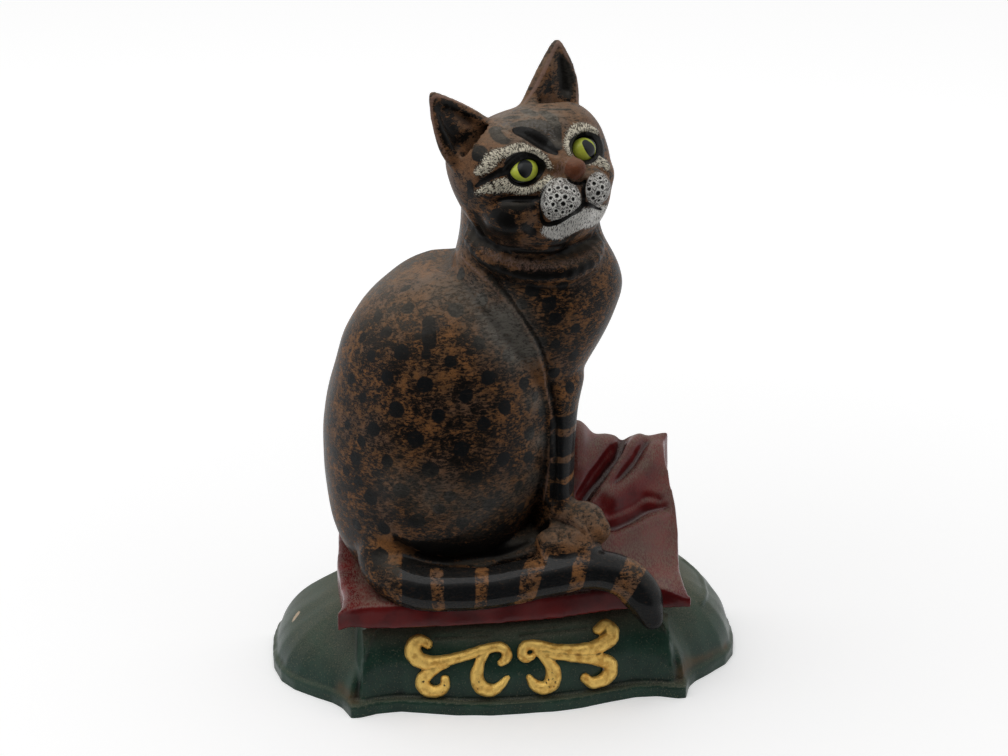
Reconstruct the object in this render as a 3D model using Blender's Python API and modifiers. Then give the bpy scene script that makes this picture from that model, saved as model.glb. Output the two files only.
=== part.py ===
"""A cast iron doorstop: a painted cat seated on a cushion, on a low plinth with gilt scrolls.

The figure is hollow and flat backed, as such castings are. X runs to the viewer's right,
Y runs back to the door and Z runs up. The origin is on the floor, under the middle of the
whole object. Sizes are in millimetres and are turned into metres by MM.
"""
import math

import bmesh
import bpy
from mathutils import Matrix, Vector

MM = 0.001

# Driving dimensions
BACK = 38.0            # the flat back plane that faces the door
WALL = 5.5             # thickness of the iron
GAP = 0.3              # clearance left between neighbouring pieces
DECK_BOTTOM = 26.5     # underside of the deck, where the clamp screws pull
WIDEST = 12.0          # depth at which the cat's body is widest
BACK_RADIUS = 42.0     # how far the body's section would run back past that depth
BEYOND = 120.0         # how far the blocks that trim the castings reach past them

# Casting skins: grid that masses are melted on, rounds of softening, share of faces kept
SKINS = {
    "plinth": (1.3, 3, 0.045), "plinth_core": (2.0, 2, 0.04),
    "cushion": (1.6, 4, 0.05), "scroll": (0.7, 2, 0.11),
    "cat": (1.5, 3, 0.045), "cat_core": (2.5, 3, 0.06),
}

# Head, in its own frame: origin between the eyes, X right, Y back, Z up
HEAD_ORIGIN = (13.8, -14.0, 211.0)
HEAD_YAW = 28.0
HEAD_PITCH = 18.0
HEAD_ROLL = 11.2
EYE_PLACE = (13.6, 1.0, -0.3)
EYE_RADII = (5.4, 4.2, 4.9)
LID_DISH = ((13.6, -4.4, -0.1), (7.4, 5.0, 6.4))    # the skin is sunk round each eye

# Clamp screws that hold plinth, cushion and cat together
CLAMP_PLACES = {"left": (-45.0, 8.0), "right": (-8.0, 8.0)}
CLAMP_SHANK_RADIUS = 3.0
CLAMP_HEAD_RADIUS = 5.6
CLAMP_HEAD_HEIGHT = 4.5
CLAMP_TIP = 55.0
WASHER_RADIUS = 8.0
WASHER_THICKNESS = 1.6
WASHER_SEAT_RADIUS = 9.5
WASHER_SEAT_LOW = 5.0

# Screws that hold each gilt scroll from inside the plinth
SCROLL_SHANK_RADIUS = 1.3
SCROLL_HEAD_RADIUS = 2.6
SCROLL_HEAD_HEIGHT = 1.8
SCROLL_SCREW_BITE = 1.4
SCROLL_WALL = 5.0
SCROLL_HEAD_ROOM = 9.0
SCROLL_RISE = 0.4      # how far the middle of a strand stands proud of the plinth's face

# Half of the plinth's foot, seen from above, from the middle of the front to the back
FOOT_HALF = [
    (0.0, -38.0), (12.0, -37.8), (24.0, -36.2), (36.0, -32.9), (45.0, -30.8), (54.0, -31.2),
    (61.0, -33.4), (64.0, -33.4), (65.2, -30.0), (67.0, -25.5), (70.5, -21.0), (77.0, -15.8),
    (84.5, -9.0), (89.2, -1.5), (91.6, 9.0), (92.0, 20.0), (90.6, 31.0), (87.5, 44.0),
]
FOOT_HEIGHT = 5.0

# Half of the middle block's foot and how its face leans back: (height, setback)
BLOCK_HALF = [
    (0.0, -38.0), (12.0, -37.8), (24.0, -36.2), (36.0, -32.9), (45.0, -31.2), (52.0, -31.6),
    (57.5, -33.0), (61.0, -33.2), (63.4, -31.4), (65.0, -27.0), (66.0, -18.0), (67.0, 0.0),
    (67.0, 44.0),
]
BLOCK_PROFILE = [(-3.0, 4.0), (8.0, 4.2), (16.0, 5.0), (22.0, 6.2), (27.0, 8.4), (30.5, 11.4),
                 (32.6, 16.0), (33.6, 24.0)]
# The hollow under the block, drawn in from the block's own outline, and its roof's slope
BLOCK_HOLLOW_SHARE = 0.96
BLOCK_HOLLOW_SETBACK = 11.0
BLOCK_HOLLOW_END = 62.0
BLOCK_HOLLOW_PROFILE = [(-10.0, 0.0), (14.0, 0.0), (22.0, 3.0), (DECK_BOTTOM, 8.0)]
# The hollow under each side lobe: (inner and outer end), front, top
LOBE_HOLLOW = ((46.0, 78.0), -7.0, 13.0)
# The side lobes are domes over the foot: (height, setback)
LOBE_PROFILE = [(-3.0, 1.2), (5.0, 1.6), (10.0, 3.2), (15.0, 6.4), (19.5, 11.0), (23.5, 17.0),
                (27.0, 24.0), (29.6, 31.0), (31.4, 40.0)]
LOBE_FULLNESS = {-1: (0.98, 1.04), 1: (1.06, 0.86)}    # share of each lobe's height and setback

# The cat's back and haunch: (height, left, right, front)
HAUNCH = [
    (40.0, -50.0, -22.0, -8.0), (46.0, -58.0, -10.0, -14.0), (54.0, -63.5, 2.0, -19.0),
    (63.0, -66.8, 10.0, -23.0), (74.0, -68.6, 15.5, -26.0), (87.0, -69.6, 19.0, -28.0),
    (100.0, -69.6, 21.0, -29.0), (113.0, -67.6, 21.5, -28.5), (125.0, -64.6, 20.0, -26.5),
    (135.5, -61.4, 17.0, -23.5), (144.0, -56.4, 12.5, -19.5), (150.4, -50.0, 6.5, -15.0),
    (155.6, -41.6, -1.0, -10.0), (159.2, -33.0, -8.0, -5.0),
]
# The chest and neck, and below them the front legs
CHEST = [
    (98.0, -12.0, 14.0, 2.0), (106.0, -14.0, 20.0, -6.0), (114.0, -14.0, 25.0, -11.5),
    (121.0, -16.0, 28.5, -13.5), (129.0, -18.0, 33.0, -15.0), (138.0, -20.0, 38.0, -16.5),
    (147.0, -21.0, 42.0, -17.5), (155.0, -21.0, 43.8, -17.5), (163.0, -19.6, 42.0, -15.5),
    (171.0, -17.6, 37.8, -13.0), (178.0, -16.4, 35.4, -11.0), (187.0, -16.0, 34.6, -9.0),
    (196.0, -15.6, 33.0, -6.0),
]
LEG = [
    (56.0, 8.0, 26.5, -19.0), (66.0, 9.0, 25.4, -18.5), (78.0, 9.0, 25.0, -16.5),
    (92.0, 8.5, 25.2, -15.0), (106.0, 6.0, 26.2, -13.5), (122.0, -2.0, 29.0, -13.0),
]
LEG_BACK = 22.0
# The tail: (x, y, z, radius)
TAIL = [
    (-50.0, -2.0, 62.0, 9.0), (-49.5, -14.0, 54.5, 9.0), (-42.0, -23.5, 50.5, 8.6),
    (-29.5, -28.0, 49.3, 8.2), (-9.0, -29.5, 50.0, 8.0), (12.0, -29.0, 53.2, 7.9),
    (29.0, -28.5, 54.5, 7.7), (41.0, -29.4, 50.5, 7.4), (47.5, -30.6, 43.5, 6.8),
    (50.0, -31.2, 38.0, 5.6),
]
# The ruff of fur under the jaw: (x, y, z, radius)
RUFF = [
    (-13.5, 2.0, 177.0, 3.6), (-10.0, -7.0, 173.5, 4.2), (2.0, -13.0, 169.5, 4.6),
    (18.0, -14.0, 168.5, 4.6), (28.4, -8.0, 170.5, 4.2), (32.4, 3.0, 173.5, 3.6),
]
# The back of the head, run back to the flat plane: centre (x, z) and radii
NAPE_CENTRE = (11.0, 190.0)
NAPE_RADII = (20.0, 15.0)
SKULL_HOLLOW = ((0.0, 22.0, -6.0), (20.0, 15.0, 13.0))
# Heights between which the haunch and the chest are hollow
HAUNCH_HOLLOW = (58.0, 64.0, 74.0, 88.0, 102.0, 116.0, 128.0, 138.0, 146.0)
CHEST_HOLLOW = (122.0, 130.0, 140.0, 150.0, 160.0, 170.0, 180.0, 188.0)
# Paws and toes: (centre, radii)
PAWS = [
    ((17.0, -24.0, 64.0), (10.0, 8.0, 6.5)), ((27.0, -17.0, 69.5), (8.5, 9.0, 6.0)),
    ((24.5, -27.5, 62.0), (5.0, 5.0, 5.0)), ((33.0, -21.0, 66.5), (4.5, 5.0, 4.5)),
]
# The skull in the head's frame: (height, half width, front, back, middle)
SKULL = [
    (-33.0, 11.0, 7.0, 32.0, 1.0), (-28.0, 19.6, 2.0, 37.0, 1.4), (-20.0, 25.2, -1.4, 40.5, 1.8),
    (-12.0, 28.4, -2.8, 41.5, 1.6), (-4.0, 30.0, -3.4, 41.0, 1.0), (4.0, 30.4, -3.0, 39.5, 0.3),
    (11.0, 28.2, -0.4, 38.0, -0.6), (15.4, 23.6, 4.0, 35.0, -1.4), (18.4, 14.5, 10.0, 30.0, -2.6),
]
SKULL_SQUARENESS = 2.8
# Rounded masses of the face in the head's frame: (centre, radii)
FACE = [
    ((8.0, -4.4, -13.4), (7.8, 7.4, 7.0)), ((-5.9, -4.6, -13.4), (7.8, 7.4, 7.0)),
    ((0.0, -9.4, -6.2), (3.9, 3.4, 3.3)), ((0.0, -3.0, -1.0), (5.5, 6.0, 7.0)),
    ((0.0, 1.2, -22.6), (8.5, 7.5, 5.2)), ((0.0, 8.0, -20.0), (18.0, 13.0, 9.5)),
    ((16.0, 9.5, -13.0), (12.5, 10.5, 9.5)), ((-16.0, 9.5, -13.0), (12.5, 10.5, 9.5)),
    ((13.5, 5.0, 7.4), (10.5, 6.5, 4.4)), ((-13.5, 5.0, 7.4), (10.5, 6.5, 4.4)),
]
# Each ear on its side of the head: root, apex and half width
EARS = {-1: ((16.6, 19.0, 11.0), (29.6, 15.0, 37.4), 12.8),
        1: ((15.4, 19.0, 11.0), (29.0, 15.0, 37.0), 11.6)}
EAR_HALF_DEPTH = 6.0
EAR_BULGE = 1.6        # how far the middle of the ear leans out past its straight axis
EAR_HOLLOW_SHARE = 0.66
EAR_HOLLOW_SHIFT = 4.2

# The cushion seen from above: its front edge, and its sides as (y, x)
CUSHION_FRONT = [
    (-68.4, -33.4), (-63.5, -30.4), (-57.0, -29.0), (-48.0, -28.8), (-35.0, -29.4),
    (-20.0, -29.8), (0.0, -29.4), (18.0, -28.0), (32.0, -25.4), (44.0, -24.0), (54.0, -25.2),
    (59.0, -26.8), (62.6, -28.6), (66.0, -30.2),
]
CUSHION_LEFT = [(-33.4, -68.4), (-27.0, -66.4), (-18.0, -65.4), (-6.0, -65.8), (10.0, -65.6),
                (44.0, -62.0)]
CUSHION_RIGHT = [(-30.2, 66.0), (-25.0, 65.0), (-17.0, 64.6), (-7.0, 65.0), (1.0, 66.4),
                 (11.0, 66.8), (20.0, 65.8), (28.0, 65.0), (34.0, 66.0), (38.0, 68.4),
                 (44.0, 69.4)]
CUSHION_LOW = 34.4
CUSHION_FRONT_TOP = 44.5
CUSHION_DROOP = 3.6    # how far its front right corner hangs
CUSHION_INSIDE = ((-56.5, -17.0), (61.8, 44.0))    # the hollow under it, open behind
# Folds and creases of its drawn up corner: points (x, y, strength), width and height
CUSHION_FOLDS = [
    ([(50.0, 37.0, 0.2), (46.8, 29.3, 1.0), (38.1, 19.2, 1.0), (27.0, 9.0, 1.0)], 2.2, -4.2),
    ([(57.0, 37.0, 0.4), (51.5, 29.0, 1.0), (43.5, 19.0, 1.0), (33.5, 9.4, 0.6)], 2.3, 2.2),
    ([(59.0, 33.0, 0.3), (53.0, 25.6, 1.0), (45.6, 18.2, 0.9), (40.0, 14.6, 0.2)], 1.5, -1.8),
    ([(62.0, 30.0, 0.2), (58.0, 22.4, 0.8), (51.0, 16.6, 1.0), (42.0, 11.4, 0.8)], 3.6, 2.8),
    ([(36.0, 4.6, 0.8), (42.0, 5.6, 1.0), (49.4, 8.2, 1.0), (55.4, 10.4, 0.8), (62.0, 10.0, 0.1)],
     2.0, -3.0),
    ([(34.0, 24.0, 0.2), (37.0, 32.0, 0.8), (40.0, 42.0, 0.8)], 3.0, -1.6),
    ([(30.0, 20.0, 0.6), (31.0, 32.0, 1.0), (32.0, 42.0, 1.0)], 3.5, 1.2),
]

# The gilt scrolls, as strands along the plinth's face: (x, z, radius)
SCROLLS = {
    "right": [
        [(4.6, 21.0, 1.3), (2.0, 20.6, 1.6), (0.9, 22.8, 1.8), (2.4, 25.0, 1.9), (6.5, 25.2, 1.9),
         (13.5, 23.4, 1.8), (22.0, 22.2, 2.0), (29.5, 22.0, 2.5), (34.6, 23.4, 2.9),
         (36.4, 26.0, 2.7), (34.0, 28.6, 2.2), (30.6, 27.6, 1.8)],
        [(7.1, 23.2, 1.2), (13.0, 21.2, 1.5), (22.0, 19.2, 1.9), (29.6, 17.2, 2.3),
         (34.6, 14.6, 2.7), (35.0, 10.6, 2.8), (31.8, 8.0, 2.5), (27.6, 8.0, 2.1),
         (25.2, 10.4, 1.8)],
        [(6.4, 23.4, 1.2), (10.2, 19.6, 1.8), (12.8, 14.8, 2.6), (12.0, 10.2, 2.9),
         (8.6, 8.6, 2.5), (5.2, 10.4, 1.9), (3.4, 13.2, 1.2)],
    ],
    "left": [
        [(-34.0, 25.6, 1.7), (-36.4, 27.0, 2.2), (-39.2, 25.4, 2.8), (-39.6, 22.0, 3.0),
         (-36.0, 19.2, 2.7), (-29.4, 19.8, 2.2), (-21.9, 22.0, 1.9), (-13.2, 24.6, 1.8),
         (-7.4, 25.2, 1.9), (-5.0, 23.6, 1.9), (-5.2, 21.0, 1.9), (-7.0, 19.6, 1.4)],
        [(-27.4, 19.0, 1.4), (-33.0, 15.8, 2.0), (-36.4, 12.0, 2.6), (-35.4, 8.4, 2.6),
         (-31.6, 7.6, 2.2), (-28.4, 9.8, 1.9), (-28.2, 13.0, 1.5)],
        [(-12.7, 23.4, 1.3), (-15.4, 18.8, 1.9), (-16.2, 13.6, 2.5), (-14.4, 9.8, 2.7),
         (-10.6, 8.8, 2.3), (-7.2, 10.6, 1.7), (-4.9, 13.4, 1.1)],
    ],
}
SCROLL_SCREWS = {"right": [(12.0, 13.0), (33.6, 13.0)], "left": [(-15.6, 13.0), (-35.0, 12.6)]}

PAINTS = {
    "green_paint": ((0.035, 0.060, 0.045), 0.42, 0.0),
    "red_paint": ((0.110, 0.014, 0.014), 0.35, 0.0),
    "cat_paint": ((0.075, 0.040, 0.022), 0.42, 0.0),
    "gilt": ((0.560, 0.330, 0.070), 0.34, 0.6),
    "eye_glass": ((0.400, 0.520, 0.050), 0.08, 0.0),
    "steel": ((0.300, 0.290, 0.280), 0.45, 1.0),
}


def clear_scene():
    for item in list(bpy.data.objects):
        bpy.data.objects.remove(item, do_unlink=True)


def new_collection(name):
    folder = bpy.data.collections.new(name)
    bpy.context.scene.collection.children.link(folder)
    return folder


def paint(name):
    """A plain painted or bare metal finish."""
    material = bpy.data.materials.get(name)
    if material:
        return material
    colour, roughness, metallic = PAINTS[name]
    material = bpy.data.materials.new(name)
    material.use_nodes = True
    shader = material.node_tree.nodes["Principled BSDF"]
    shader.inputs["Base Color"].default_value = (*colour, 1.0)
    shader.inputs["Roughness"].default_value = roughness
    shader.inputs["Metallic"].default_value = metallic
    material.diffuse_color = (*colour, 1.0)
    return material


def to_object(bm, name, folder):
    """Close a bmesh whose units are millimetres into an object in metres."""
    bmesh.ops.recalc_face_normals(bm, faces=bm.faces)
    if bm.calc_volume(signed=True) < 0:
        bmesh.ops.reverse_faces(bm, faces=bm.faces)
    bmesh.ops.scale(bm, vec=(MM, MM, MM), verts=bm.verts)
    mesh = bpy.data.meshes.new(name)
    bm.to_mesh(mesh)
    bm.free()
    item = bpy.data.objects.new(name, mesh)
    folder.objects.link(item)
    return item


def hide(item):
    item.hide_render = True
    item.display_type = "WIRE"
    return item


def add_loft(bm, rings):
    """Join a stack of closed rings, each with as many points as the next, into one solid."""
    loops = [[bm.verts.new(point) for point in ring] for ring in rings]
    count = len(loops[0])
    for low, high in zip(loops[:-1], loops[1:]):
        for i in range(count):
            j = (i + 1) % count
            bm.faces.new((low[i], low[j], high[j], high[i]))
    bm.faces.new(list(reversed(loops[0])))
    bm.faces.new(loops[-1])


def body_ring(height, left, right, front, back_radius=BACK_RADIUS, widest=WIDEST, count=40):
    """A level section of the body: a half ellipse in front, a flatter one behind."""
    middle = (left + right) / 2
    half = (right - left) / 2
    points = []
    for i in range(count):
        angle = 2 * math.pi * i / count
        depth = math.sin(angle)
        reach = back_radius if depth > 0 else widest - front
        points.append((middle + half * math.cos(angle), widest + reach * depth, height))
    return points


def add_body(bm, table, back_radius=BACK_RADIUS, inset=0.0, widest=WIDEST):
    """Stack body sections, rounded off above and below."""
    rings = []
    for height, left, right, front in table:
        rings.append(body_ring(height, left + inset, right - inset, front + inset,
                               back_radius, widest))
    add_loft(bm, rings)


def head_matrix():
    """Where the head's own frame sits in the object: it looks up and to the right."""
    yaw = math.radians(HEAD_YAW)
    pitch = math.radians(HEAD_PITCH)
    roll = math.radians(HEAD_ROLL)
    facing = Vector((math.sin(yaw) * math.cos(pitch), -math.cos(yaw) * math.cos(pitch),
                     math.sin(pitch)))
    right = Vector((math.cos(yaw), math.sin(yaw), 0.0))
    up = right.cross(-facing)
    right, up = (right * math.cos(roll) + up * math.sin(roll),
                 up * math.cos(roll) - right * math.sin(roll))
    turn = Matrix((right, -facing, up)).transposed().to_4x4()
    return Matrix.Translation(HEAD_ORIGIN) @ turn


def add_ball(bm, centre, radii, matrix=None, grow=0.0):
    """A ball stretched to three radii, at a place in the object's or the head's frame."""
    shape = Matrix.Translation(centre) @ Matrix.Diagonal([r + grow for r in radii]).to_4x4()
    bmesh.ops.create_uvsphere(bm, u_segments=20, v_segments=12, radius=1.0,
                              matrix=(matrix or Matrix.Identity(4)) @ shape)


def skull_rings():
    rings = []
    for height, half, front, back, aside in SKULL:
        middle = (front + back) / 2
        reach = (back - front) / 2
        ring = []
        for i in range(32):
            angle = 2 * math.pi * i / 32
            across, along_depth = math.cos(angle), math.sin(angle)
            power = SKULL_SQUARENESS if along_depth < 0 else 2.0
            size = (abs(across) ** power + abs(along_depth) ** power) ** (-1 / power)
            ring.append((aside + half * across * size, middle + reach * along_depth * size, height))
        rings.append(ring)
    return rings


def ear_rings(side, shrink=1.0, forward=0.0):
    """A pointed ear, wide at its root, leaning outwards."""
    root, apex, half_width = EARS[side]
    root, apex = Vector(root), Vector(apex)
    across = Vector((0.80, -0.10, -0.36)).normalized()
    rings = []
    steps = 7
    for k in range(steps + 1):
        t = -0.25 + 1.25 * k / steps
        rise = max(t, 0.0)
        centre = root.lerp(apex, t) + Vector((0.0, -forward, 0.0))
        centre = centre + across * EAR_BULGE * math.sin(math.pi * rise)
        swell = max(1.0 - rise ** 1.7, 0.0) ** 0.85 + 0.06
        half = half_width * swell * shrink
        thick = max(EAR_HALF_DEPTH * (1.0 - 0.72 * rise) * shrink, 0.8)
        ring = []
        for i in range(20):
            angle = 2 * math.pi * i / 20
            point = centre + across * half * math.cos(angle)
            point = point + Vector((0.0, thick * math.sin(angle), 0.0))
            ring.append((side * point.x, point.y, point.z))
        rings.append(ring)
    return rings


def add_tube(bm, path, matrix=None, sides=16):
    """A round tapering tube through path points, rounded at its two ends."""
    points = [Vector(p[:3]) for p in path]
    radii = [p[3] for p in path]
    rings = []
    for i, point in enumerate(points):
        before = points[max(i - 1, 0)]
        after = points[min(i + 1, len(points) - 1)]
        run = (after - before).normalized()
        side = run.cross(Vector((0.0, 1.0, 0.0)))
        side = side.normalized() if side.length > 0.01 else Vector((1.0, 0.0, 0.0))
        lift = side.cross(run)
        rings.append([point + radii[i] * (side * math.cos(a) + lift * math.sin(a))
                      for a in (2 * math.pi * k / sides for k in range(sides))])
    add_loft(bm, rings)
    for end in (0, -1):
        bmesh.ops.create_uvsphere(bm, u_segments=16, v_segments=10, radius=radii[end],
                                  matrix=Matrix.Translation(points[end]))
    if matrix:
        bmesh.ops.transform(bm, matrix=matrix, verts=bm.verts)


def smooth_path(path, steps=5):
    """Points on a smooth curve through the given points, radii included."""
    fine = []
    for i in range(len(path) - 1):
        a = path[max(i - 1, 0)]
        b = path[i]
        c = path[i + 1]
        d = path[min(i + 2, len(path) - 1)]
        for k in range(steps):
            t = k / steps
            fine.append(tuple(
                0.5 * (2 * q + (r - p) * t + (2 * p - 5 * q + 4 * r - s) * t * t
                       + (3 * q - p - 3 * r + s) * t ** 3)
                for p, q, r, s in zip(a, b, c, d)))
    fine.append(path[-1])
    return fine


def freeze(item):
    """Apply every modifier of an object."""
    depsgraph = bpy.context.evaluated_depsgraph_get()
    mesh = bpy.data.meshes.new_from_object(item.evaluated_get(depsgraph))
    item.modifiers.clear()
    old = item.data
    item.data = mesh
    bpy.data.meshes.remove(old)
    return item


def fuse(item, skin):
    """Melt overlapping masses into one skin, soften it and thin out its faces."""
    voxel, rounds, share = SKINS[skin]
    remesh = item.modifiers.new("fuse", "REMESH")
    remesh.mode = "VOXEL"
    remesh.voxel_size = voxel * MM
    soften = item.modifiers.new("soften", "SMOOTH")
    soften.factor = 0.5
    soften.iterations = rounds
    thin = item.modifiers.new("thin", "DECIMATE")
    thin.ratio = share
    return freeze(item)


def grown(item, amount, name, folder):
    """A copy of an object whose faces are moved out along their normals."""
    copy = bpy.data.objects.new(name, item.data.copy())
    folder.objects.link(copy)
    bm = bmesh.new()
    bm.from_mesh(copy.data)
    bm.normal_update()
    moves = [(vert, vert.normal * amount * MM * min(vert.calc_shell_factor(), 1.5))
             for vert in bm.verts]
    for vert, move in moves:
        vert.co += move
    bm.to_mesh(copy.data)
    bm.free()
    return hide(copy)


def cut(item, cutter, operation="DIFFERENCE"):
    boolean = item.modifiers.new("cut", "BOOLEAN")
    boolean.operation = operation
    boolean.solver = "EXACT"
    boolean.object = cutter
    return freeze(item)


def box(low, high, name, folder):
    bm = bmesh.new()
    size = [h - l for l, h in zip(low, high)]
    middle = [(l + h) / 2 for l, h in zip(low, high)]
    bmesh.ops.create_cube(bm, size=1.0,
                          matrix=Matrix.Translation(middle) @ Matrix.Diagonal(size).to_4x4())
    return hide(to_object(bm, name, folder))


def rod(start, end, radius, name, folder, sides=20):
    """A round bar between two points."""
    start, end = Vector(start), Vector(end)
    run = end - start
    turn = run.to_track_quat("Z", "Y").to_matrix().to_4x4()
    bm = bmesh.new()
    bmesh.ops.create_cone(bm, cap_ends=True, segments=sides, radius1=radius, radius2=radius,
                          depth=run.length,
                          matrix=Matrix.Translation((start + end) / 2) @ turn)
    return to_object(bm, name, folder)


def outline(half, setback):
    """A whole plinth outline from its half, moved inwards by the setback."""
    points = [Vector((x, y)) for x, y in half]
    left = [Vector((-x, y)) for x, y in reversed(half[1:])]
    ring = left + points
    count = len(ring)
    moved = []
    for i, point in enumerate(ring):
        before = (point - ring[max(i - 1, 0)])
        after = (ring[min(i + 1, count - 1)] - point)
        run = (before.normalized() if before.length else after.normalized())
        run = (run + (after.normalized() if after.length else run)).normalized()
        moved.append(point + Vector((-run.y, run.x)) * setback)
    return [(p.x, p.y) for p in moved]


def add_stack(bm, half, profile):
    rings = []
    for height, setback in profile:
        rings.append([(x, y, height) for x, y in outline(half, setback)])
    add_loft(bm, rings)


def add_lobe(bm, side):
    """A domed side lobe: the foot's outline drawn in towards a line under the cushion."""
    rings = []
    for height, setback in LOBE_PROFILE:
        height, setback = height * LOBE_FULLNESS[side][0], setback * LOBE_FULLNESS[side][1]
        ring = []
        for x, y in FOOT_HALF[8:]:
            inward = setback * (x - 30.0) / 62.0
            ring.append((side * (x - inward), y + setback * max(0.0, -y + 12.0) / 45.0, height))
        ring.append((side * 30.0, 44.0, height))
        ring.append((side * 30.0, -22.0 + setback * 0.7, height))
        rings.append(ring)
    add_loft(bm, rings)


def along(table, place):
    """Read a table of (position, values...) at a place between its rows."""
    for low, high in zip(table[:-1], table[1:]):
        if place <= high[0]:
            t = max(0.0, (place - low[0]) / (high[0] - low[0]))
            return [a + (b - a) * t for a, b in zip(low[1:], high[1:])]
    return list(table[-1][1:])


def face_depth(x, z):
    """Depth of the middle block's leaning face."""
    return along(BLOCK_HALF, abs(x))[0] + along(BLOCK_PROFILE, z)[0]


def plinth_skin(folder):
    bm = bmesh.new()
    add_stack(bm, FOOT_HALF, [(-3.0, 0.0), (FOOT_HEIGHT - 1.0, 0.0), (FOOT_HEIGHT, 1.0)])
    add_stack(bm, BLOCK_HALF, BLOCK_PROFILE)
    add_lobe(bm, 1)
    add_lobe(bm, -1)
    return fuse(to_object(bm, "plinth", folder), "plinth")


def along_curve(path, share):
    """A point part of the way along a row of points."""
    place = share * (len(path) - 1)
    i = min(int(place), len(path) - 2)
    return Vector(path[i]).lerp(Vector(path[i + 1]), place - i)


def cushion_place(u, v):
    """A point of the cushion's plan, between its front edge and its drawn in sides."""
    front = along_curve(CUSHION_FRONT, u)
    y = front.y + (44.0 - front.y) * v
    left, = along(CUSHION_LEFT, y)
    right, = along(CUSHION_RIGHT, y)
    x = left + (right - left) * (front.x + 68.4) / 134.4
    return (x * v + front.x * (1 - v) if v < 0.06 else x), y


def inside_place(u, v):
    """A point of the plan of the hollow inside the cushion."""
    (left, front), (right, rear) = CUSHION_INSIDE
    return left + (right - left) * u, front + (rear - front) * v


def add_cushion(bm, place, height, low, across, deep):
    """A block under a curved top, over a plan given point by point."""
    grid = [[place(i / across, j / deep) for j in range(deep + 1)] for i in range(across + 1)]
    tops = [[bm.verts.new((x, y, height(x, y))) for x, y in row] for row in grid]
    lows = [[bm.verts.new((x, y, low(x, y))) for x, y in row] for row in grid]
    for i in range(across):
        for j in range(deep):
            bm.faces.new((tops[i][j], tops[i + 1][j], tops[i + 1][j + 1], tops[i][j + 1]))
            bm.faces.new((lows[i][j], lows[i][j + 1], lows[i + 1][j + 1], lows[i + 1][j]))
        bm.faces.new((lows[i][0], lows[i + 1][0], tops[i + 1][0], tops[i][0]))
        bm.faces.new((lows[i + 1][-1], lows[i][-1], tops[i][-1], tops[i + 1][-1]))
    for j in range(deep):
        bm.faces.new((lows[0][j + 1], lows[0][j], tops[0][j], tops[0][j + 1]))
        bm.faces.new((lows[-1][j], lows[-1][j + 1], tops[-1][j + 1], tops[-1][j]))


def ease(value, low, high):
    """0 below the low value, 1 above the high one, and a smooth rise between."""
    t = min(max((value - low) / (high - low), 0.0), 1.0)
    return t * t * (3 - 2 * t)


def fold_height(x, y, path, width, height):
    """How much one fold lifts the cushion's top, or a crease lowers it."""
    nearest = 0.0
    for a, b in zip(path[:-1], path[1:]):
        run = Vector((b[0] - a[0], b[1] - a[1]))
        t = min(max((Vector((x - a[0], y - a[1])) @ run) / run.length_squared, 0.0), 1.0)
        gap = math.hypot(x - a[0] - run.x * t, y - a[1] - run.y * t)
        strength = a[2] + (b[2] - a[2]) * t
        nearest = max(nearest, strength * math.exp(-(gap / width) ** 2))
    return height * nearest


def cushion_rise(x, y):
    """Height of the plain top: level in front, drawn up to its back right corner."""
    back, right = ease(y, -16.0, 38.0), ease(x, -10.0, 30.0)
    hump = 7.0 * math.exp(-((x - 30.0) / 12.0) ** 2)
    top = CUSHION_FRONT_TOP + back * (8.0 + 26.4 * right + hump)
    top -= CUSHION_DROOP * ease(x, 48.0, 66.0) * ease(-y, 14.0, 30.0)
    return top + 1.2 * ease(x, 58.0, 67.0) * ease(y, 30.0, 38.0)


def cushion_top(x, y):
    return cushion_rise(x, y) + sum(fold_height(x, y, *fold) for fold in CUSHION_FOLDS)


def cushion_ceiling(x, y):
    return min(cushion_rise(x, y), cushion_top(x, y)) - WALL


def cushion_low(x, y):
    """Height of the cushion's underside, whose front corners stand off the plinth a little."""
    return CUSHION_LOW + 2.2 * ease(abs(x), 54.0, 66.0) * ease(-y, 14.0, 28.0)


def cushion_skin(folder):
    bm = bmesh.new()
    add_cushion(bm, cushion_place, cushion_top, cushion_low, 72, 56)
    return fuse(to_object(bm, "cushion", folder), "cushion")


def cat_skin(folder):
    """The whole outside of the cat, as one skin."""
    head = head_matrix()
    bm = bmesh.new()
    add_body(bm, HAUNCH)
    add_body(bm, CHEST)
    rings = []
    for height, left, right, front in LEG:
        rings.append(body_ring(height, left, right, front, LEG_BACK - 4.0, 4.0, 24))
    add_loft(bm, rings)
    for centre, radii in PAWS:
        add_ball(bm, centre, radii)
    add_tube(bm, smooth_path(TAIL, 3))
    add_tube(bm, smooth_path(RUFF, 3))
    bmesh.ops.create_cone(bm, cap_ends=True, segments=32, radius1=1.0, radius2=1.0, depth=1.0,
                          matrix=nape_matrix(0.0))
    face = bmesh.new()
    add_loft(face, skull_rings())
    for centre, radii in FACE:
        add_ball(face, centre, radii)
    for side in (-1, 1):
        add_loft(face, ear_rings(side))
    bmesh.ops.transform(face, matrix=head, verts=face.verts)
    mesh = bpy.data.meshes.new("face")
    face.to_mesh(mesh)
    face.free()
    bm.from_mesh(mesh)
    bpy.data.meshes.remove(mesh)
    return fuse(to_object(bm, "cat", folder), "cat")


def nape_matrix(inset):
    """The back of the head, run straight back to the flat plane."""
    x, z = NAPE_CENTRE
    width, height = NAPE_RADII
    start, end = 2.0 + inset, BACK + 6.0
    turn = Matrix.Rotation(math.pi / 2, 4, "X")
    size = Matrix.Diagonal((width - inset, height - inset, end - start)).to_4x4()
    return Matrix.Translation((x, (start + end) / 2, z)) @ turn @ size


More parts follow.
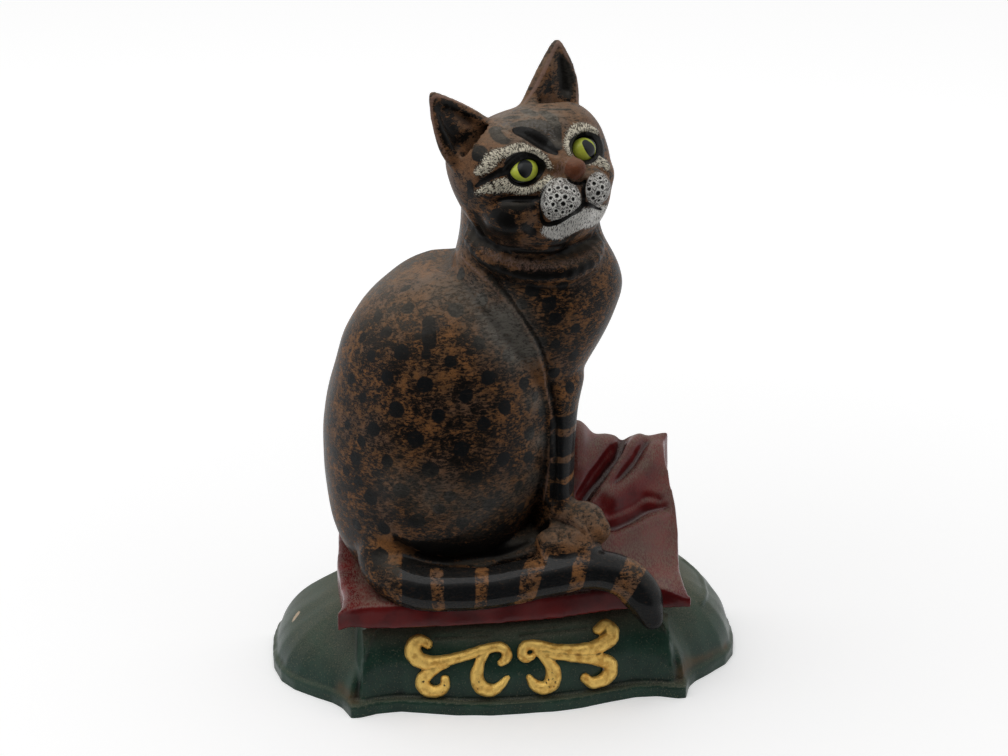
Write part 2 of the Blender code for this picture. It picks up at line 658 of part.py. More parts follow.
def cat_core(folder):
    """The hollow inside the cat, open at its back."""
    bm = bmesh.new()
    for table, heights in ((HAUNCH, HAUNCH_HOLLOW), (CHEST, CHEST_HOLLOW)):
        rows = [(height, *along(table, height)) for height in heights]
        add_body(bm, rows, BACK_RADIUS - WALL, WALL)
    add_ball(bm, SKULL_HOLLOW[0], SKULL_HOLLOW[1], head_matrix())
    bmesh.ops.create_cone(bm, cap_ends=True, segments=24, radius1=1.0, radius2=1.0, depth=1.0,
                          matrix=nape_matrix(WALL))
    return hide(fuse(to_object(bm, "cat_core", folder), "cat_core"))


def clamp_hole(x, y, top, tools):
    """A cutter for a clamp screw's hole, from under the deck up to a height."""
    return hide(rod((x, y, DECK_BOTTOM - 5.0), (x, y, top), CLAMP_SHANK_RADIUS + GAP,
                    "clamp_hole", tools))


def cut_back(skin, tools):
    """Trim a casting off at the flat plane behind."""
    low = (-BEYOND, BACK, -BEYOND)
    high = (BEYOND, BACK + BEYOND, 3 * BEYOND)
    cut(skin, box(low, high, skin.name + "_back_cut", tools))


def make_plinth(skin, tools):
    cut(skin, box((-BEYOND, -BEYOND, -BEYOND), (BEYOND, BEYOND, 0.0), "floor_cut", tools))
    cut_back(skin, tools)
    bm = bmesh.new()
    inner = BACK - WALL
    rows = [(x * BLOCK_HOLLOW_SHARE, min(y + BLOCK_HOLLOW_SETBACK, inner))
            for x, y in BLOCK_HALF if x < BLOCK_HOLLOW_END]
    rows += [(rows[-1][0], inner)]
    add_stack(bm, rows, BLOCK_HOLLOW_PROFILE)
    (near, far), front, top = LOBE_HOLLOW
    for side in (-1, 1):
        middle = (side * (near + far) / 2, (inner + front) / 2, 0.0)
        size = (far - near, inner - front, 2 * top)
        bmesh.ops.create_cube(bm, size=1.0, matrix=Matrix.Translation(middle)
                              @ Matrix.Diagonal(size).to_4x4())
    core = hide(fuse(to_object(bm, "plinth_core", tools), "plinth_core"))
    cut(skin, core)
    for x, y in CLAMP_PLACES.values():
        cut(skin, clamp_hole(x, y, CLAMP_TIP, tools))
        seat = rod((x, y, WASHER_SEAT_LOW), (x, y, DECK_BOTTOM), WASHER_SEAT_RADIUS, "seat",
                   tools, 32)
        cut(skin, hide(seat))
    skin.data.materials.append(paint("green_paint"))


def make_cushion(skin, plinth_room, tools):
    cut(skin, plinth_room)
    cut_back(skin, tools)
    bm = bmesh.new()
    add_cushion(bm, inside_place, cushion_ceiling, lambda x, y: 0.0, 30, 16)
    cut(skin, hide(to_object(bm, "cushion_core", tools)))
    for x, y in CLAMP_PLACES.values():
        cut(skin, clamp_hole(x, y, 2 * CLAMP_TIP, tools))
    skin.data.materials.append(paint("red_paint"))


def make_cat(skin, rooms, tools):
    for room in rooms:
        cut(skin, room)
    cut_back(skin, tools)
    cut(skin, cat_core(tools))
    head = head_matrix()
    for side in (-1, 1):
        for centre, radii, grow in ((EYE_PLACE, EYE_RADII, GAP), (*LID_DISH, 0.0)):
            bm = bmesh.new()
            add_ball(bm, (side * centre[0], *centre[1:]), radii, head, grow)
            cut(skin, hide(to_object(bm, "eye_socket", tools)))
        bm = bmesh.new()
        add_loft(bm, ear_rings(side, EAR_HOLLOW_SHARE, EAR_HOLLOW_SHIFT))
        bmesh.ops.transform(bm, matrix=head, verts=bm.verts)
        cut(skin, hide(to_object(bm, "ear_hollow", tools)))
    for x, y in CLAMP_PLACES.values():
        cut(skin, clamp_hole(x, y, CLAMP_TIP + 1.0, tools))
    skin.data.materials.append(paint("cat_paint"))


def make_eyes(parts):
    x, y, z = EYE_PLACE
    for side, name in ((-1, "eye_left"), (1, "eye_right")):
        bm = bmesh.new()
        add_ball(bm, (side * x, y, z), EYE_RADII, head_matrix())
        eye = to_object(bm, name, parts)
        eye.data.materials.append(paint("eye_glass"))


def make_scrolls(parts, tools, plinth_room):
    """Gilt scrolls of rounded strands, flat behind where they lie on the plinth's face."""
    for side, strands in SCROLLS.items():
        bm = bmesh.new()
        for strand in strands:
            path = [(x, face_depth(x, z) - SCROLL_RISE, z, radius)
                    for x, z, radius in smooth_path(strand, 3)]
            add_tube(bm, path, sides=12)
        scroll = fuse(to_object(bm, "scroll_" + side, parts), "scroll")
        cut(scroll, plinth_room)
        scroll.data.materials.append(paint("gilt"))


def scroll_screw_places():
    """Each scroll screw: its name, its place on the face and the depth of the face there."""
    for side, places in SCROLL_SCREWS.items():
        for number, (x, z) in enumerate(places, 1):
            yield "scroll_screw_%s_%d" % (side, number), x, z, face_depth(x, z)


def make_scroll_screws(parts, tools, plinth):
    """Short screws through the plinth's front wall into the backs of the scrolls."""
    for name, x, z, face in scroll_screw_places():
        tip = face - SCROLL_SCREW_BITE
        seat = face + SCROLL_WALL
        hole = rod((x, tip - GAP, z), (x, seat + 5, z), SCROLL_SHANK_RADIUS + GAP, "hole", tools)
        hide(hole)
        cut(plinth, hole)
        cut(bpy.data.objects["scroll_" + name.split("_")[2]], hole)
        room = rod((x, seat, z), (x, seat + SCROLL_HEAD_ROOM, z), SCROLL_HEAD_RADIUS + 1.0,
                   "room", tools)
        cut(plinth, hide(room))
        under = seat + GAP
        screw = rod((x, tip, z), (x, under + 0.5, z), SCROLL_SHANK_RADIUS, name, parts, 12)
        head = rod((x, under, z), (x, under + SCROLL_HEAD_HEIGHT, z), SCROLL_HEAD_RADIUS,
                   "head", parts, 16)
        cut(screw, head, "UNION")
        bpy.data.objects.remove(head, do_unlink=True)
        screw.data.materials.append(paint("steel"))


def make_clamps(parts):
    """Long screws with washers that pull the cat and the cushion down on the deck."""
    for side, (x, y) in CLAMP_PLACES.items():
        top = DECK_BOTTOM - GAP
        low = top - WASHER_THICKNESS
        washer = rod((x, y, low), (x, y, top), WASHER_RADIUS, "washer_" + side, parts, 32)
        hole = rod((x, y, low - 5), (x, y, top + 5), CLAMP_SHANK_RADIUS + GAP, "eye", parts)
        cut(washer, hole)
        bpy.data.objects.remove(hole, do_unlink=True)
        washer.data.materials.append(paint("steel"))
        head_top = low - GAP
        screw = rod((x, y, head_top - 1.0), (x, y, CLAMP_TIP), CLAMP_SHANK_RADIUS,
                    "clamp_screw_" + side, parts)
        head = rod((x, y, head_top - CLAMP_HEAD_HEIGHT), (x, y, head_top), CLAMP_HEAD_RADIUS,
                   "head", parts, 24)
        cut(screw, head, "UNION")
        bpy.data.objects.remove(head, do_unlink=True)
        screw.data.materials.append(paint("steel"))


def main():
    clear_scene()
    parts = new_collection("cat_doorstop")
    tools = new_collection("cutters")
    plinth = plinth_skin(parts)
    cushion = cushion_skin(parts)
    cat = cat_skin(parts)
    plinth_room = grown(plinth, GAP, "plinth_room", tools)
    cushion_room = grown(cushion, GAP, "cushion_room", tools)
    make_plinth(plinth, tools)
    make_cushion(cushion, plinth_room, tools)
    make_cat(cat, (cushion_room, plinth_room), tools)
    make_eyes(parts)
    make_scrolls(parts, tools, plinth_room)
    make_scroll_screws(parts, tools, plinth)
    make_clamps(parts)


main()
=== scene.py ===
"""A cast iron doorstop: a painted cat on a red cushion, on a green plinth with gilt scrolls.

Every casting is modelled here in full detail round the plain parts of the fixed frame:
masses are drawn up and melted into one skin, the skin is worked over along drawn lines, and
the paint follows marks that are laid on the skin. X runs to the viewer's right, Y runs back
to the door and Z runs up. Tables are in millimetres and MM turns them into metres.
"""
import math

import bpy
import numpy as np
from mathutils import Matrix, Vector, noise
from mathutils.bvhtree import BVHTree


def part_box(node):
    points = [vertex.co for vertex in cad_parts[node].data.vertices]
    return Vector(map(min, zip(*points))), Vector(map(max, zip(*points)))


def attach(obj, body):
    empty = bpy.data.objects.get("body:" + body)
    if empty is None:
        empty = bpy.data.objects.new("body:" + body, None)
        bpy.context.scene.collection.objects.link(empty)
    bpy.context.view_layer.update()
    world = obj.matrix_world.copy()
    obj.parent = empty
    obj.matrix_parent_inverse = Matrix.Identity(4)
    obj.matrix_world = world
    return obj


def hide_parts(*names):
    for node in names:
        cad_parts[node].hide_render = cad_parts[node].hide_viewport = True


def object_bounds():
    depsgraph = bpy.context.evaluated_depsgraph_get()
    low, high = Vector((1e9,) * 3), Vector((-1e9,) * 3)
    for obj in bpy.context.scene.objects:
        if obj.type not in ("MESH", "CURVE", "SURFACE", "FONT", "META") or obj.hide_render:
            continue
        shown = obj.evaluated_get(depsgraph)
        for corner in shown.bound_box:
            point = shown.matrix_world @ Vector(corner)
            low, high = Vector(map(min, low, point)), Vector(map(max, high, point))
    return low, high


bl_info = {
    "name": "Cast Iron Cat Doorstop",
    "version": (1, 0, 0),
    "blender": (4, 5, 0),
    "location": "View3D > Sidebar > Doorstop",
    "description": "Models and paints a cast iron doorstop round its fixed frame",
    "category": "Object",
}

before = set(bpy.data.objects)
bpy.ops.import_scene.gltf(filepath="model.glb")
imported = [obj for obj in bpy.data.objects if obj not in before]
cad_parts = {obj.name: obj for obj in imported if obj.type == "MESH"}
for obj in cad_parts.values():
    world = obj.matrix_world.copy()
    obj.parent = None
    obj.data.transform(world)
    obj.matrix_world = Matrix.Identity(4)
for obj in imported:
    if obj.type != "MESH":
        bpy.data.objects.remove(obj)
CAD_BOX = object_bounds()

MM = 0.001
FAR = 20.0             # a mark's value well away from any stroke, in millimetres

# ------------------------------------------------------------------ sizes of the castings

BACK = 38.0            # the flat back plane that faces the door
WALL = 5.5             # thickness of the iron
WIDEST = 12.0          # depth at which the cat's body is widest
BACK_RADIUS = 42.0     # how far the body's section would run back past that depth
BEYOND = 120.0         # how far the blocks that trim the castings reach past them
SKIN_MARGIN = 0.03     # how far the plinth's skin stays inside the frame's box
CAT_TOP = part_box("cat")[1].z / MM - 0.02    # how high the cat's skin may reach
CORE_GRAIN = 2.0       # grid of the cores that hollow the castings
ROOM_GRAIN = 1.3       # grid of a neighbour's skin, where a casting makes room for it

# Holes for the clamp screws through plinth, cushion and cat: places (x, y) and radii
CLAMP_SCREWS = ((-45.0, 8.0), (-8.0, 8.0))
CLAMP_HOLE = 3.3
CLAMP_SEAT = 9.5
# Holes for the scrolls' screws: places (x, z) on the plinth's face, and radii
SCROLL_SCREWS = ((12.0, 13.0), (33.6, 13.0), (-15.6, 13.0), (-35.0, 12.6))
SCROLL_HOLE = 1.6
SCROLL_HEAD_ROOM = 3.6
# The hollow in each lobe of the plinth: its near and far side, its front and its height
LOBE_HOLLOW = (46.0, 78.0, -7.0, 13.0)

# The camera: degrees to the left of the front and above level, then millimetres
CAMERA_TURN = 6.9
CAMERA_RISE = 22.0
CAMERA_DISTANCE = 900.0
CAMERA_TARGET = (-2.0, 0.0, 122.0)
CAMERA_LENS = 85.964
SENSOR = 36.0
PHOTO_SIZE = (1008, 756)
PIXEL = 0.37           # a pixel of the photograph, at the cat

# The stage: the floor's front edge, half width and back edge in metres; the light tent's
# brightness, and the dark cone in front of it, in degrees; the lamp in metres and watts
FLOOR = (-0.10, 1.2, 1.2)
FLOOR_GLOW = (0.28, 0.14)
TENT_LIGHT = 0.62
TENT_DARK = 0.05
DARK_RISE = -6.0
DARK_REACH = (34.0, 72.0)
LAMP_PLACE = (-0.25, -0.15, 1.1)
LAMP_AIM = (0.0, 0.0, 0.1)
LAMP_SIZE = 1.1
LAMP_POWER = 4.2

# Where the head's own frame stands in the object, and how it is turned, in degrees
HEAD_ORIGIN = (13.8, -14.0, 211.0)
HEAD_YAW, HEAD_PITCH, HEAD_ROLL = 28.0, 18.0, 11.2
# In the head's frame: each eye's middle and radii, and the dish sunk in the skin round it
EYES = {-1: ((-13.5, 1.0, 0.1), (6.4, 4.4, 4.6)), 1: ((13.9, 1.0, -1.7), (5.5, 4.3, 4.7))}
LID_DISH = ((13.7, -4.4, -0.5), (7.6, 5.0, 6.4))

# Half of the plinth's foot from the middle of the front to the back: (x, y)
FOOT_HALF = [
    (0, -38), (12, -37.8), (24, -36.2), (36, -32.9), (45, -30.8), (54, -31.2),
    (61, -33.4), (64, -33.4), (65.2, -30), (67, -25.5), (70.5, -21), (77, -15.8),
    (84.5, -9), (89.2, -1.5), (91.6, 9), (92, 20), (90.6, 31), (87.5, 44),
]
FOOT_HEIGHT = 5.0
BLOCK_HALF = [
    (0, -38), (12, -37.8), (24, -36.2), (36, -32.9), (45, -31.2), (52, -31.6),
    (57.5, -33), (61, -33.2), (63.4, -31.4), (65, -27), (66, -18), (67, 0),
    (67, 44),
]
BLOCK_PROFILE = [(-3, 4), (8, 4.2), (16, 5), (22, 6.2), (27, 8.4), (30.5, 11.4),
                 (32.6, 16), (33.6, 24)]
BLOCK_HOLLOW_PROFILE = [(-10, 0), (14, 0), (22, 3), (26.5, 8)]
LOBE_PROFILE = [(-3, 1.2), (5, 1.6), (10, 3.2), (15, 6.4), (19.5, 11), (23.5, 17),
                (27, 24), (29.6, 31), (31.4, 40)]
LOBE_FULLNESS = {-1: (0.98, 1.04), 1: (1.06, 0.86)}    # share of each lobe's height and setback

# The cat's masses: (height, left, right, front)
HAUNCH = [
    (40, -50, -22, -8), (46, -58, -10, -14), (54, -63.5, 2, -19),
    (63, -66.8, 10, -23), (74, -68.6, 15.5, -26), (87, -69.6, 19, -28),
    (100, -69.6, 21, -29), (113, -67.6, 21.5, -28.5), (125, -64.6, 20, -26.5),
    (135.5, -61.4, 17, -23.5), (144, -56.4, 12.5, -19.5), (150.4, -50, 6.5, -15),
    (155.6, -41.6, -1, -10), (159.2, -33, -8, -5),
]
HAUNCH_CROWN = (160.8, -27.0, -12.0, 1.0)
CHEST = [
    (98, -12, 14, 2), (106, -14, 20, -6), (114, -14, 25, -11.5),
    (121, -16, 28.5, -13.5), (129, -18, 33, -15), (138, -20, 38, -16.5),
    (147, -21, 42, -17.5), (155, -21, 43.8, -17.5), (163, -19.6, 42, -15.5),
    (171, -17.6, 37.8, -13), (178, -16.4, 35.4, -11), (187, -16, 34.6, -9),
    (196, -15.6, 33, -6),
]
LEG = [
    (56, 8, 26.5, -19), (66, 9, 25.4, -18.5), (78, 9, 25, -16.5),
    (92, 8.5, 25.2, -15), (106, 6, 26.2, -13.5), (122, -2, 29, -13),
]
LEG_BACK = 18.0
# Tubes: (x, y, z, radius)
TAIL = [
    (-50, -2, 62, 9), (-49.5, -14, 54.5, 9), (-42, -23.5, 50.5, 8.6),
    (-29.5, -28, 49.3, 8.2), (-9, -29.5, 50, 8), (12, -29, 53.2, 7.9),
    (29, -28.5, 54.5, 7.7), (40.6, -29.4, 50.5, 7.6), (46.6, -30.6, 43.8, 7.6),
    (48.8, -31.4, 38.6, 6.3), (50.3, -32.4, 34.6, 4.6),
]
RUFF = [
    (-13.5, 2, 177, 3.6), (-10, -7, 173.5, 4.2), (2, -13, 169.5, 4.6),
    (18, -14, 168.5, 4.6), (28.4, -8, 170.5, 4.2), (32.4, 3, 173.5, 3.6),
]
NAPE_CENTRE = (11, 190)
NAPE_RADII = (20, 15)
# Balls: (centre, radii)
PAWS = [
    ((16, -23, 63.4), (9.6, 8, 6.2)), ((25.6, -16, 69.6), (9, 8.6, 6.6)),
    ((24, -25, 62.4), (5.4, 6, 5)), ((30.6, -20.4, 67), (5.6, 6, 5.6)),
    ((24.6, -22.6, 67.6), (4.6, 5, 4.8)),
]
# The web of iron in the corner between haunch, leg and tail
WEB = [((2, -7, 54), (17, 11, 8)), ((-24, -10, 52), (22, 12, 8)),
       ((-47, -12, 57.5), (12, 9, 11))]

# The skull in the head's frame: (height, half width, front, back, middle)
SKULL = [
    (-33, 11, 7, 32, 1), (-28, 19.6, 2, 37, 1.4), (-20, 25.2, -1.4, 40.5, 1.8),
    (-12, 28.4, -2.8, 41.5, 1.6), (-4, 30, -3.4, 41, 1), (4, 30.4, -3, 39.5, 0.3),
    (11, 28.2, -0.4, 38, -0.6), (15.4, 23.6, 4, 35, -1.4), (18.4, 14.5, 10, 30, -2.6),
]
SKULL_CROWN = (19.3, 8.0, 14.5, 26.0, -3.0)
SKULL_SQUARENESS = 2.8
PADS = [((-5.9, -4.6, -13.6), (7.8, 7.4, 7.6)), ((8, -4.4, -14.6), (7.8, 7.4, 7.2))]
NOSE = ((1.2, -9.8, -4.9), (4.1, 3.9, 3.8))
FACE = [
    ((0, -3, -1), (5.5, 6, 7)),
    ((0, 1.2, -22.6), (8.5, 7.5, 5.2)), ((0, 8, -20), (18, 13, 9.5)),
    ((16, 9.5, -13), (12.5, 10.5, 9.5)), ((-16, 9.5, -13), (12.5, 10.5, 9.5)),
    ((13.5, 5, 7.4), (10.5, 6.5, 4.4)), ((-13.5, 5, 7.4), (10.5, 6.5, 4.4)),
]
# Each ear on its side of the head: root, apex and half width
EARS = {-1: ((16.6, 19.0, 11.0), (29.6, 15.0, 37.4), 12.8),
        1: ((15.4, 19.0, 11.0), (29.0, 15.0, 37.0), 11.6)}
EAR_ACROSS = (0.80, -0.10, -0.36)
EAR_ROOT = 0.25        # share of the ear that is buried in the skull
EAR_HALF_DEPTH = 6.0
EAR_BULGE = 1.6
EAR_HOLLOW_SHARE = 0.66
EAR_HOLLOW_SHIFT = 4.2

# Heights of the sections that the hollows inside the haunch and the chest are drawn on
HAUNCH_HOLLOW = (58, 64, 74, 88, 102, 116, 128, 138, 146)
CHEST_HOLLOW = (122, 130, 140, 150, 160, 170, 180, 188)
# The hollow inside the head, a ball in its frame, and the depth where the nape begins
HEAD_HOLLOW = ((0.0, 22.0, -6.0), (20.0, 15.0, 13.0))
NAPE_FRONT = 2.0

# The cushion seen from above: its front edge, and its sides as (y, x)
CUSHION_FRONT = [
    (-68.4, -33.4), (-63.5, -30.4), (-57, -29), (-48, -28.8), (-35, -29.4),
    (-20, -29.8), (0, -29.4), (18, -28), (32, -25.4), (44, -24), (54, -25.2),
    (59, -26.8), (62.6, -28.6), (66, -30.2),
]
CUSHION_LEFT = [(-33.4, -68.4), (-27, -66.4), (-18, -65.4), (-6, -65.8), (10, -65.6),
                (44, -62)]
CUSHION_RIGHT = [(-30.2, 66), (-25, 65), (-17, 64.6), (-7, 65), (1, 66.4),
                 (11, 66.8), (20, 65.8), (28, 65), (34, 66), (38, 68.4),
                 (44, 69.4)]
CUSHION_LOW = 34.4
CUSHION_FRONT_TOP = 44.5
CUSHION_DROOP = 3.6    # how far its front right corner hangs
CUSHION_INSIDE = ((-56.5, -17), (61.8, 44))    # the hollow under it, open behind
# Folds and creases of its drawn up corner: points (x, y, strength), width and height
CUSHION_FOLDS = [
    ([(50, 37, 0.2), (46.8, 29.3, 1), (38.1, 19.2, 1), (27, 9, 1)], 2.2, -4.2),
    ([(57, 37, 0.4), (51.5, 29, 1), (43.5, 19, 1), (33.5, 9.4, 0.6)], 2.3, 2.2),
    ([(59, 33, 0.3), (53, 25.6, 1), (45.6, 18.2, 0.9), (40, 14.6, 0.2)], 1.5, -1.8),
    ([(62, 30, 0.2), (58, 22.4, 0.8), (51, 16.6, 1), (42, 11.4, 0.8)], 3.6, 2.8),
    ([(36, 4.6, 0.8), (42, 5.6, 1), (49.4, 8.2, 1), (55.4, 10.4, 0.8), (62, 10, 0.1)],
     2, -3),
    ([(34, 24, 0.2), (37, 32, 0.8), (40, 42, 0.8)], 3, -1.6),
    ([(30, 20, 0.6), (31, 32, 1), (32, 42, 1)], 3.5, 1.2),
]
# Lines worked into it: (path, width, depth), raised where the depth is negative
CUSHION_LINES = [
    ([(46.8, 29.3, 79), (38.1, 19.2, 73.6), (29.1, 11.6, 66.4)], 1.9, 0.8),
    ([(51.4, 27.4, 77), (44, 19.4, 72), (35, 12.6, 66.5)], 1.5, 0.45),
    ([(40.3, 7, 59.8), (49.4, 9.9, 61.7), (55.4, 12.7, 64.2), (60.8, 11.8, 63.3)],
     1.7, 0.7),
]

# Lines worked into the plinth in the same way, its rust (path, reach) and its one chip
PLINTH_LINES = [
    ([(-31, -25.1, 27.6), (-21, -26.6, 28.4), (-11.5, -27.9, 28.7)], 0.8, 0.8),
    ([(-22, -25.8, 29.8), (-10.6, -27, 30.2)], 0.7, 0.6),
    ([(0.6, -28.5, 28.4), (13, -27.6, 28.6), (26.7, -25.5, 28.4)], 0.8, 0.8),
    ([(3, -27, 30.4), (16, -26, 30.4)], 0.7, 0.6),
    ([(74, 33, 23), (77.9, 28.1, 21), (79, 18, 20.8), (77.7, 8.2, 21.2),
      (74.6, 0, 21.6)], 1.2, -0.8),
    ([(-62, -27, 6), (-60, -27.5, 14), (-57, -26, 22)], 1.6, 0.5),
    ([(63.5, -28, 6), (61.5, -29, 14), (58, -26, 22)], 1.6, 0.5),
]
PLINTH_RUST = [
    ([(66.7, -21, 8), (74, -15, 7), (85.1, -5.1, 6)], 1.6),
    ([(-67, -22, 7), (-62.5, -30, 6)], 2.2),
    ([(67, -22, 9), (64, -28, 8)], 3),
]
PLINTH_CHIP = [(-81.8, 18.7, 18.7, 1.4), (-83.6, 17.0, 17.0, 1.1)]

# The gilt scrolls, as strands along the plinth's face: (x, z, radius)
SCROLLS = {
    "right": [
        [(4.6, 21, 1.3), (2, 20.6, 1.6), (0.9, 22.8, 1.8), (2.4, 25, 1.9), (6.5, 25.2, 1.9),
         (13.5, 23.4, 1.8), (22, 22.2, 2), (29.5, 22, 2.5), (34.6, 23.4, 2.9),
         (36.4, 26, 2.7), (34, 28.6, 2.2), (30.6, 27.6, 1.8)],
        [(7.1, 23.2, 1.2), (13, 21.2, 1.5), (22, 19.2, 1.9), (29.6, 17.2, 2.3),
         (34.6, 14.6, 2.7), (35, 10.6, 2.8), (31.8, 8, 2.5), (27.6, 8, 2.1),
         (25.2, 10.4, 1.8)],
        [(6.4, 23.4, 1.2), (10.2, 19.6, 1.8), (12.8, 14.8, 2.6), (12, 10.2, 2.9),
         (8.6, 8.6, 2.5), (5.2, 10.4, 1.9), (3.4, 13.2, 1.2)],
    ],
    "left": [
        [(-34, 25.6, 1.7), (-36.4, 27, 2.2), (-39.2, 25.4, 2.8), (-39.6, 22, 3),
         (-36, 19.2, 2.7), (-29.4, 19.8, 2.2), (-21.9, 22, 1.9), (-13.2, 24.6, 1.8),
         (-7.4, 25.2, 1.9), (-5, 23.6, 1.9), (-5.2, 21, 1.9), (-7, 19.6, 1.4)],
        [(-27.4, 19, 1.4), (-33, 15.8, 2), (-36.4, 12, 2.6), (-35.4, 8.4, 2.6),
         (-31.6, 7.6, 2.2), (-28.4, 9.8, 1.9), (-28.2, 13, 1.5)],
        [(-12.7, 23.4, 1.3), (-15.4, 18.8, 1.9), (-16.2, 13.6, 2.5), (-14.4, 9.8, 2.7),
         (-10.6, 8.8, 2.3), (-7.2, 10.6, 1.7), (-4.9, 13.4, 1.1)],
    ],
}
SCROLL_RISE = 0.4
SCROLL_FULLNESS = 1.1
# Small pits in the scrolls' lower lobes, seen from the front: (x, z, radius)
SCROLL_PITS = {
    "left": [(-36.4, 12.6, 0.5), (-28.6, 11.2, 0.45), (-15.8, 13.6, 0.45), (-16.4, 10.8, 0.4),
             (-29.4, 8.6, 0.3)],
    "right": [(10.6, 12.6, 0.4), (12.2, 13.4, 0.4), (13.2, 12, 0.45), (12.6, 10.4, 0.45),
              (10.8, 10.2, 0.4), (9.8, 11.4, 0.35), (12, 15.6, 0.35), (14.2, 9.4, 0.3),
              (3.2, 20.6, 0.35)],
}

# ------------------------------------------------------- lines worked into the cat's skin

# In the photograph's pixels: (across, down, half width)
EYE_LINE_LEFT = [
    (507, 168, 3.6), (509, 161.5, 3.6), (514, 157, 3.2), (521, 154.8, 2.8), (528, 155.2, 2.8),
    (535, 158.4, 3.4), (540, 163.5, 3.6), (541.5, 169, 3.4), (539, 174.5, 2.2), (534, 179, 1.8),
    (527, 182, 1.6), (519, 181.6, 1.6), (512.5, 177.8, 1.8), (508.5, 172.5, 2.6), (507, 168, 3.6),
]
EYE_LINE_RIGHT = [
    (571.5, 153, 1.4), (570.5, 147, 2), (572.6, 141, 2.6), (577.4, 136.4, 3),
    (584, 134.4, 3.2), (591, 136.4, 3.8), (597, 141, 5), (600.6, 147.5, 5), (602, 154, 4),
]
LID_TAIL = [(506, 170, 5), (498, 173.5, 3.8), (490, 177.2, 3.2), (483, 181.3, 2.8),
            (476, 186.5, 1.6)]
CHEEK_CREASE = [(498, 200.5, 1.4), (508, 199, 3.2), (520, 199, 4), (530, 199, 3.8),
                (538, 198, 2)]
BROW = [(515, 130.5, 3), (522, 132.6, 6.6), (530, 136.4, 8.4), (537, 141, 8.6),
        (544, 145.6, 7.6), (550, 149.5, 5.6), (556, 153.2, 2.4)]
NOSE_LINE = [(568, 179.5, 1), (573, 182.8, 1.5), (580, 183.4, 1.5), (585, 181, 1.4)]
PHILTRUM = [(585, 182, 1.2), (583.5, 190, 1.5), (584, 198, 1.7), (583.5, 204, 2)]
MOUTH_LEFT = [(541, 215, 1.2), (542.5, 221.5, 2.2), (548, 224.5, 2.4), (555, 222.8, 2.4),
              (563, 219.8, 2.4), (571, 215.6, 2.4), (578, 210.4, 2.2), (583, 204.5, 2)]
MOUTH_RIGHT = [(583, 204.5, 2), (589, 204.8, 1.8), (595, 207.5, 1.6), (601, 209.5, 1)]
PAD_EDGE = [(546, 186, 0.5), (541, 195, 0.8), (539.6, 205, 1), (541, 215, 1.2)]
JAW = [(478, 226, 1.6), (485, 238, 2), (497, 245.5, 2), (515, 248.6, 2), (540, 249.2, 2),
       (560, 247.6, 2), (578, 244, 2), (594, 238, 1.6)]
# Cream fur round the eyes and on the chin
CREAM = [
    [(477, 172, 3), (486, 167.5, 5.6), (491, 159, 7), (498, 153.6, 5.6), (506, 151, 5),
     (514, 148.6, 4.6), (522, 147.4, 4.6), (530, 149.4, 4.3), (537, 152.6, 4.2),
     (542, 157, 3.4), (546, 162, 3.2), (549.5, 167, 2.2)],
    [(477, 192.6, 2), (485, 190.2, 3.8), (494, 187.8, 5.6), (503, 185.6, 7),
     (512, 187, 6), (520, 189.6, 5.2), (528, 190.2, 4), (535, 188, 3.4), (542, 183, 4.2),
     (549, 178.4, 3)],
    [(570, 153.4, 1.6), (567.4, 146, 3), (569.6, 137, 3.8), (575, 129.8, 4.6),
     (582, 127.2, 4.6), (590, 127.6, 4.6), (596.6, 131, 3.2)],
    [(588.6, 163.4, 1.6), (595, 160.4, 3.6), (602, 161.4, 5), (608, 166, 4)],
    [(547, 231, 5), (555, 232.4, 9), (565, 231.6, 12), (576, 227.4, 13),
     (586, 222, 13), (596, 217, 11.4), (604, 212.8, 8.4)],
]
# The painted muzzle pads: middle and half sizes
PAD_PATCHES = [((560.5, 200.4), (20.8, 23)), ((598, 190), (12.6, 18.4))]
WHISKER_SPOTS = [
    (558, 188, 1.7), (566, 188, 1.9), (574, 191, 1.3), (549.5, 190, 1.6), (557, 196, 1.9),
    (565, 197, 2.1), (573, 199, 1.8), (551, 198, 1.6), (553, 204.5, 1.8), (563, 203.8, 2.1),
    (571, 206, 1.7), (546.5, 204, 1.3), (556, 210.6, 1.5), (562.5, 212, 1.4), (549, 213.4, 1.6),
    (543.5, 212, 1.4), (569.5, 211, 1.1), (560, 181.5, 1.2), (578.5, 194.5, 1.1),
    (594, 183.6, 1.8), (602, 187.2, 2), (589, 189, 1.7), (598, 193, 2.2), (593, 198, 1.7),
    (604, 196, 1.5), (600, 178.4, 1.5), (598.6, 200.4, 1.4), (590, 181, 1), (606, 181, 1.1),
]
# Black spots on the head, and the strokes of grey over the brow
HEAD_SPOTS = [
    [(479.5, 153.4, 8.2)], [(494, 129, 5.4), (498, 136.6, 5.6), (505, 141, 4.4)],
    [(507, 117.4, 3.6), (517, 117.4, 3.6)], [(526, 111, 4.6), (534, 114, 4.6)],
    [(470, 184, 3.6), (470.6, 194, 4.4)],
    [(540, 108.4, 1.4), (555, 109.4, 1.8), (570, 109.4, 1)],
    [(543, 112.4, 4), (551, 117.6, 6), (556, 125, 5), (558, 135, 4.2), (558.6, 147, 3.4)],
    [(513, 124.6, 3), (524, 122.4, 3.6), (536, 122.4, 4.4), (547, 126, 4.6)],
]
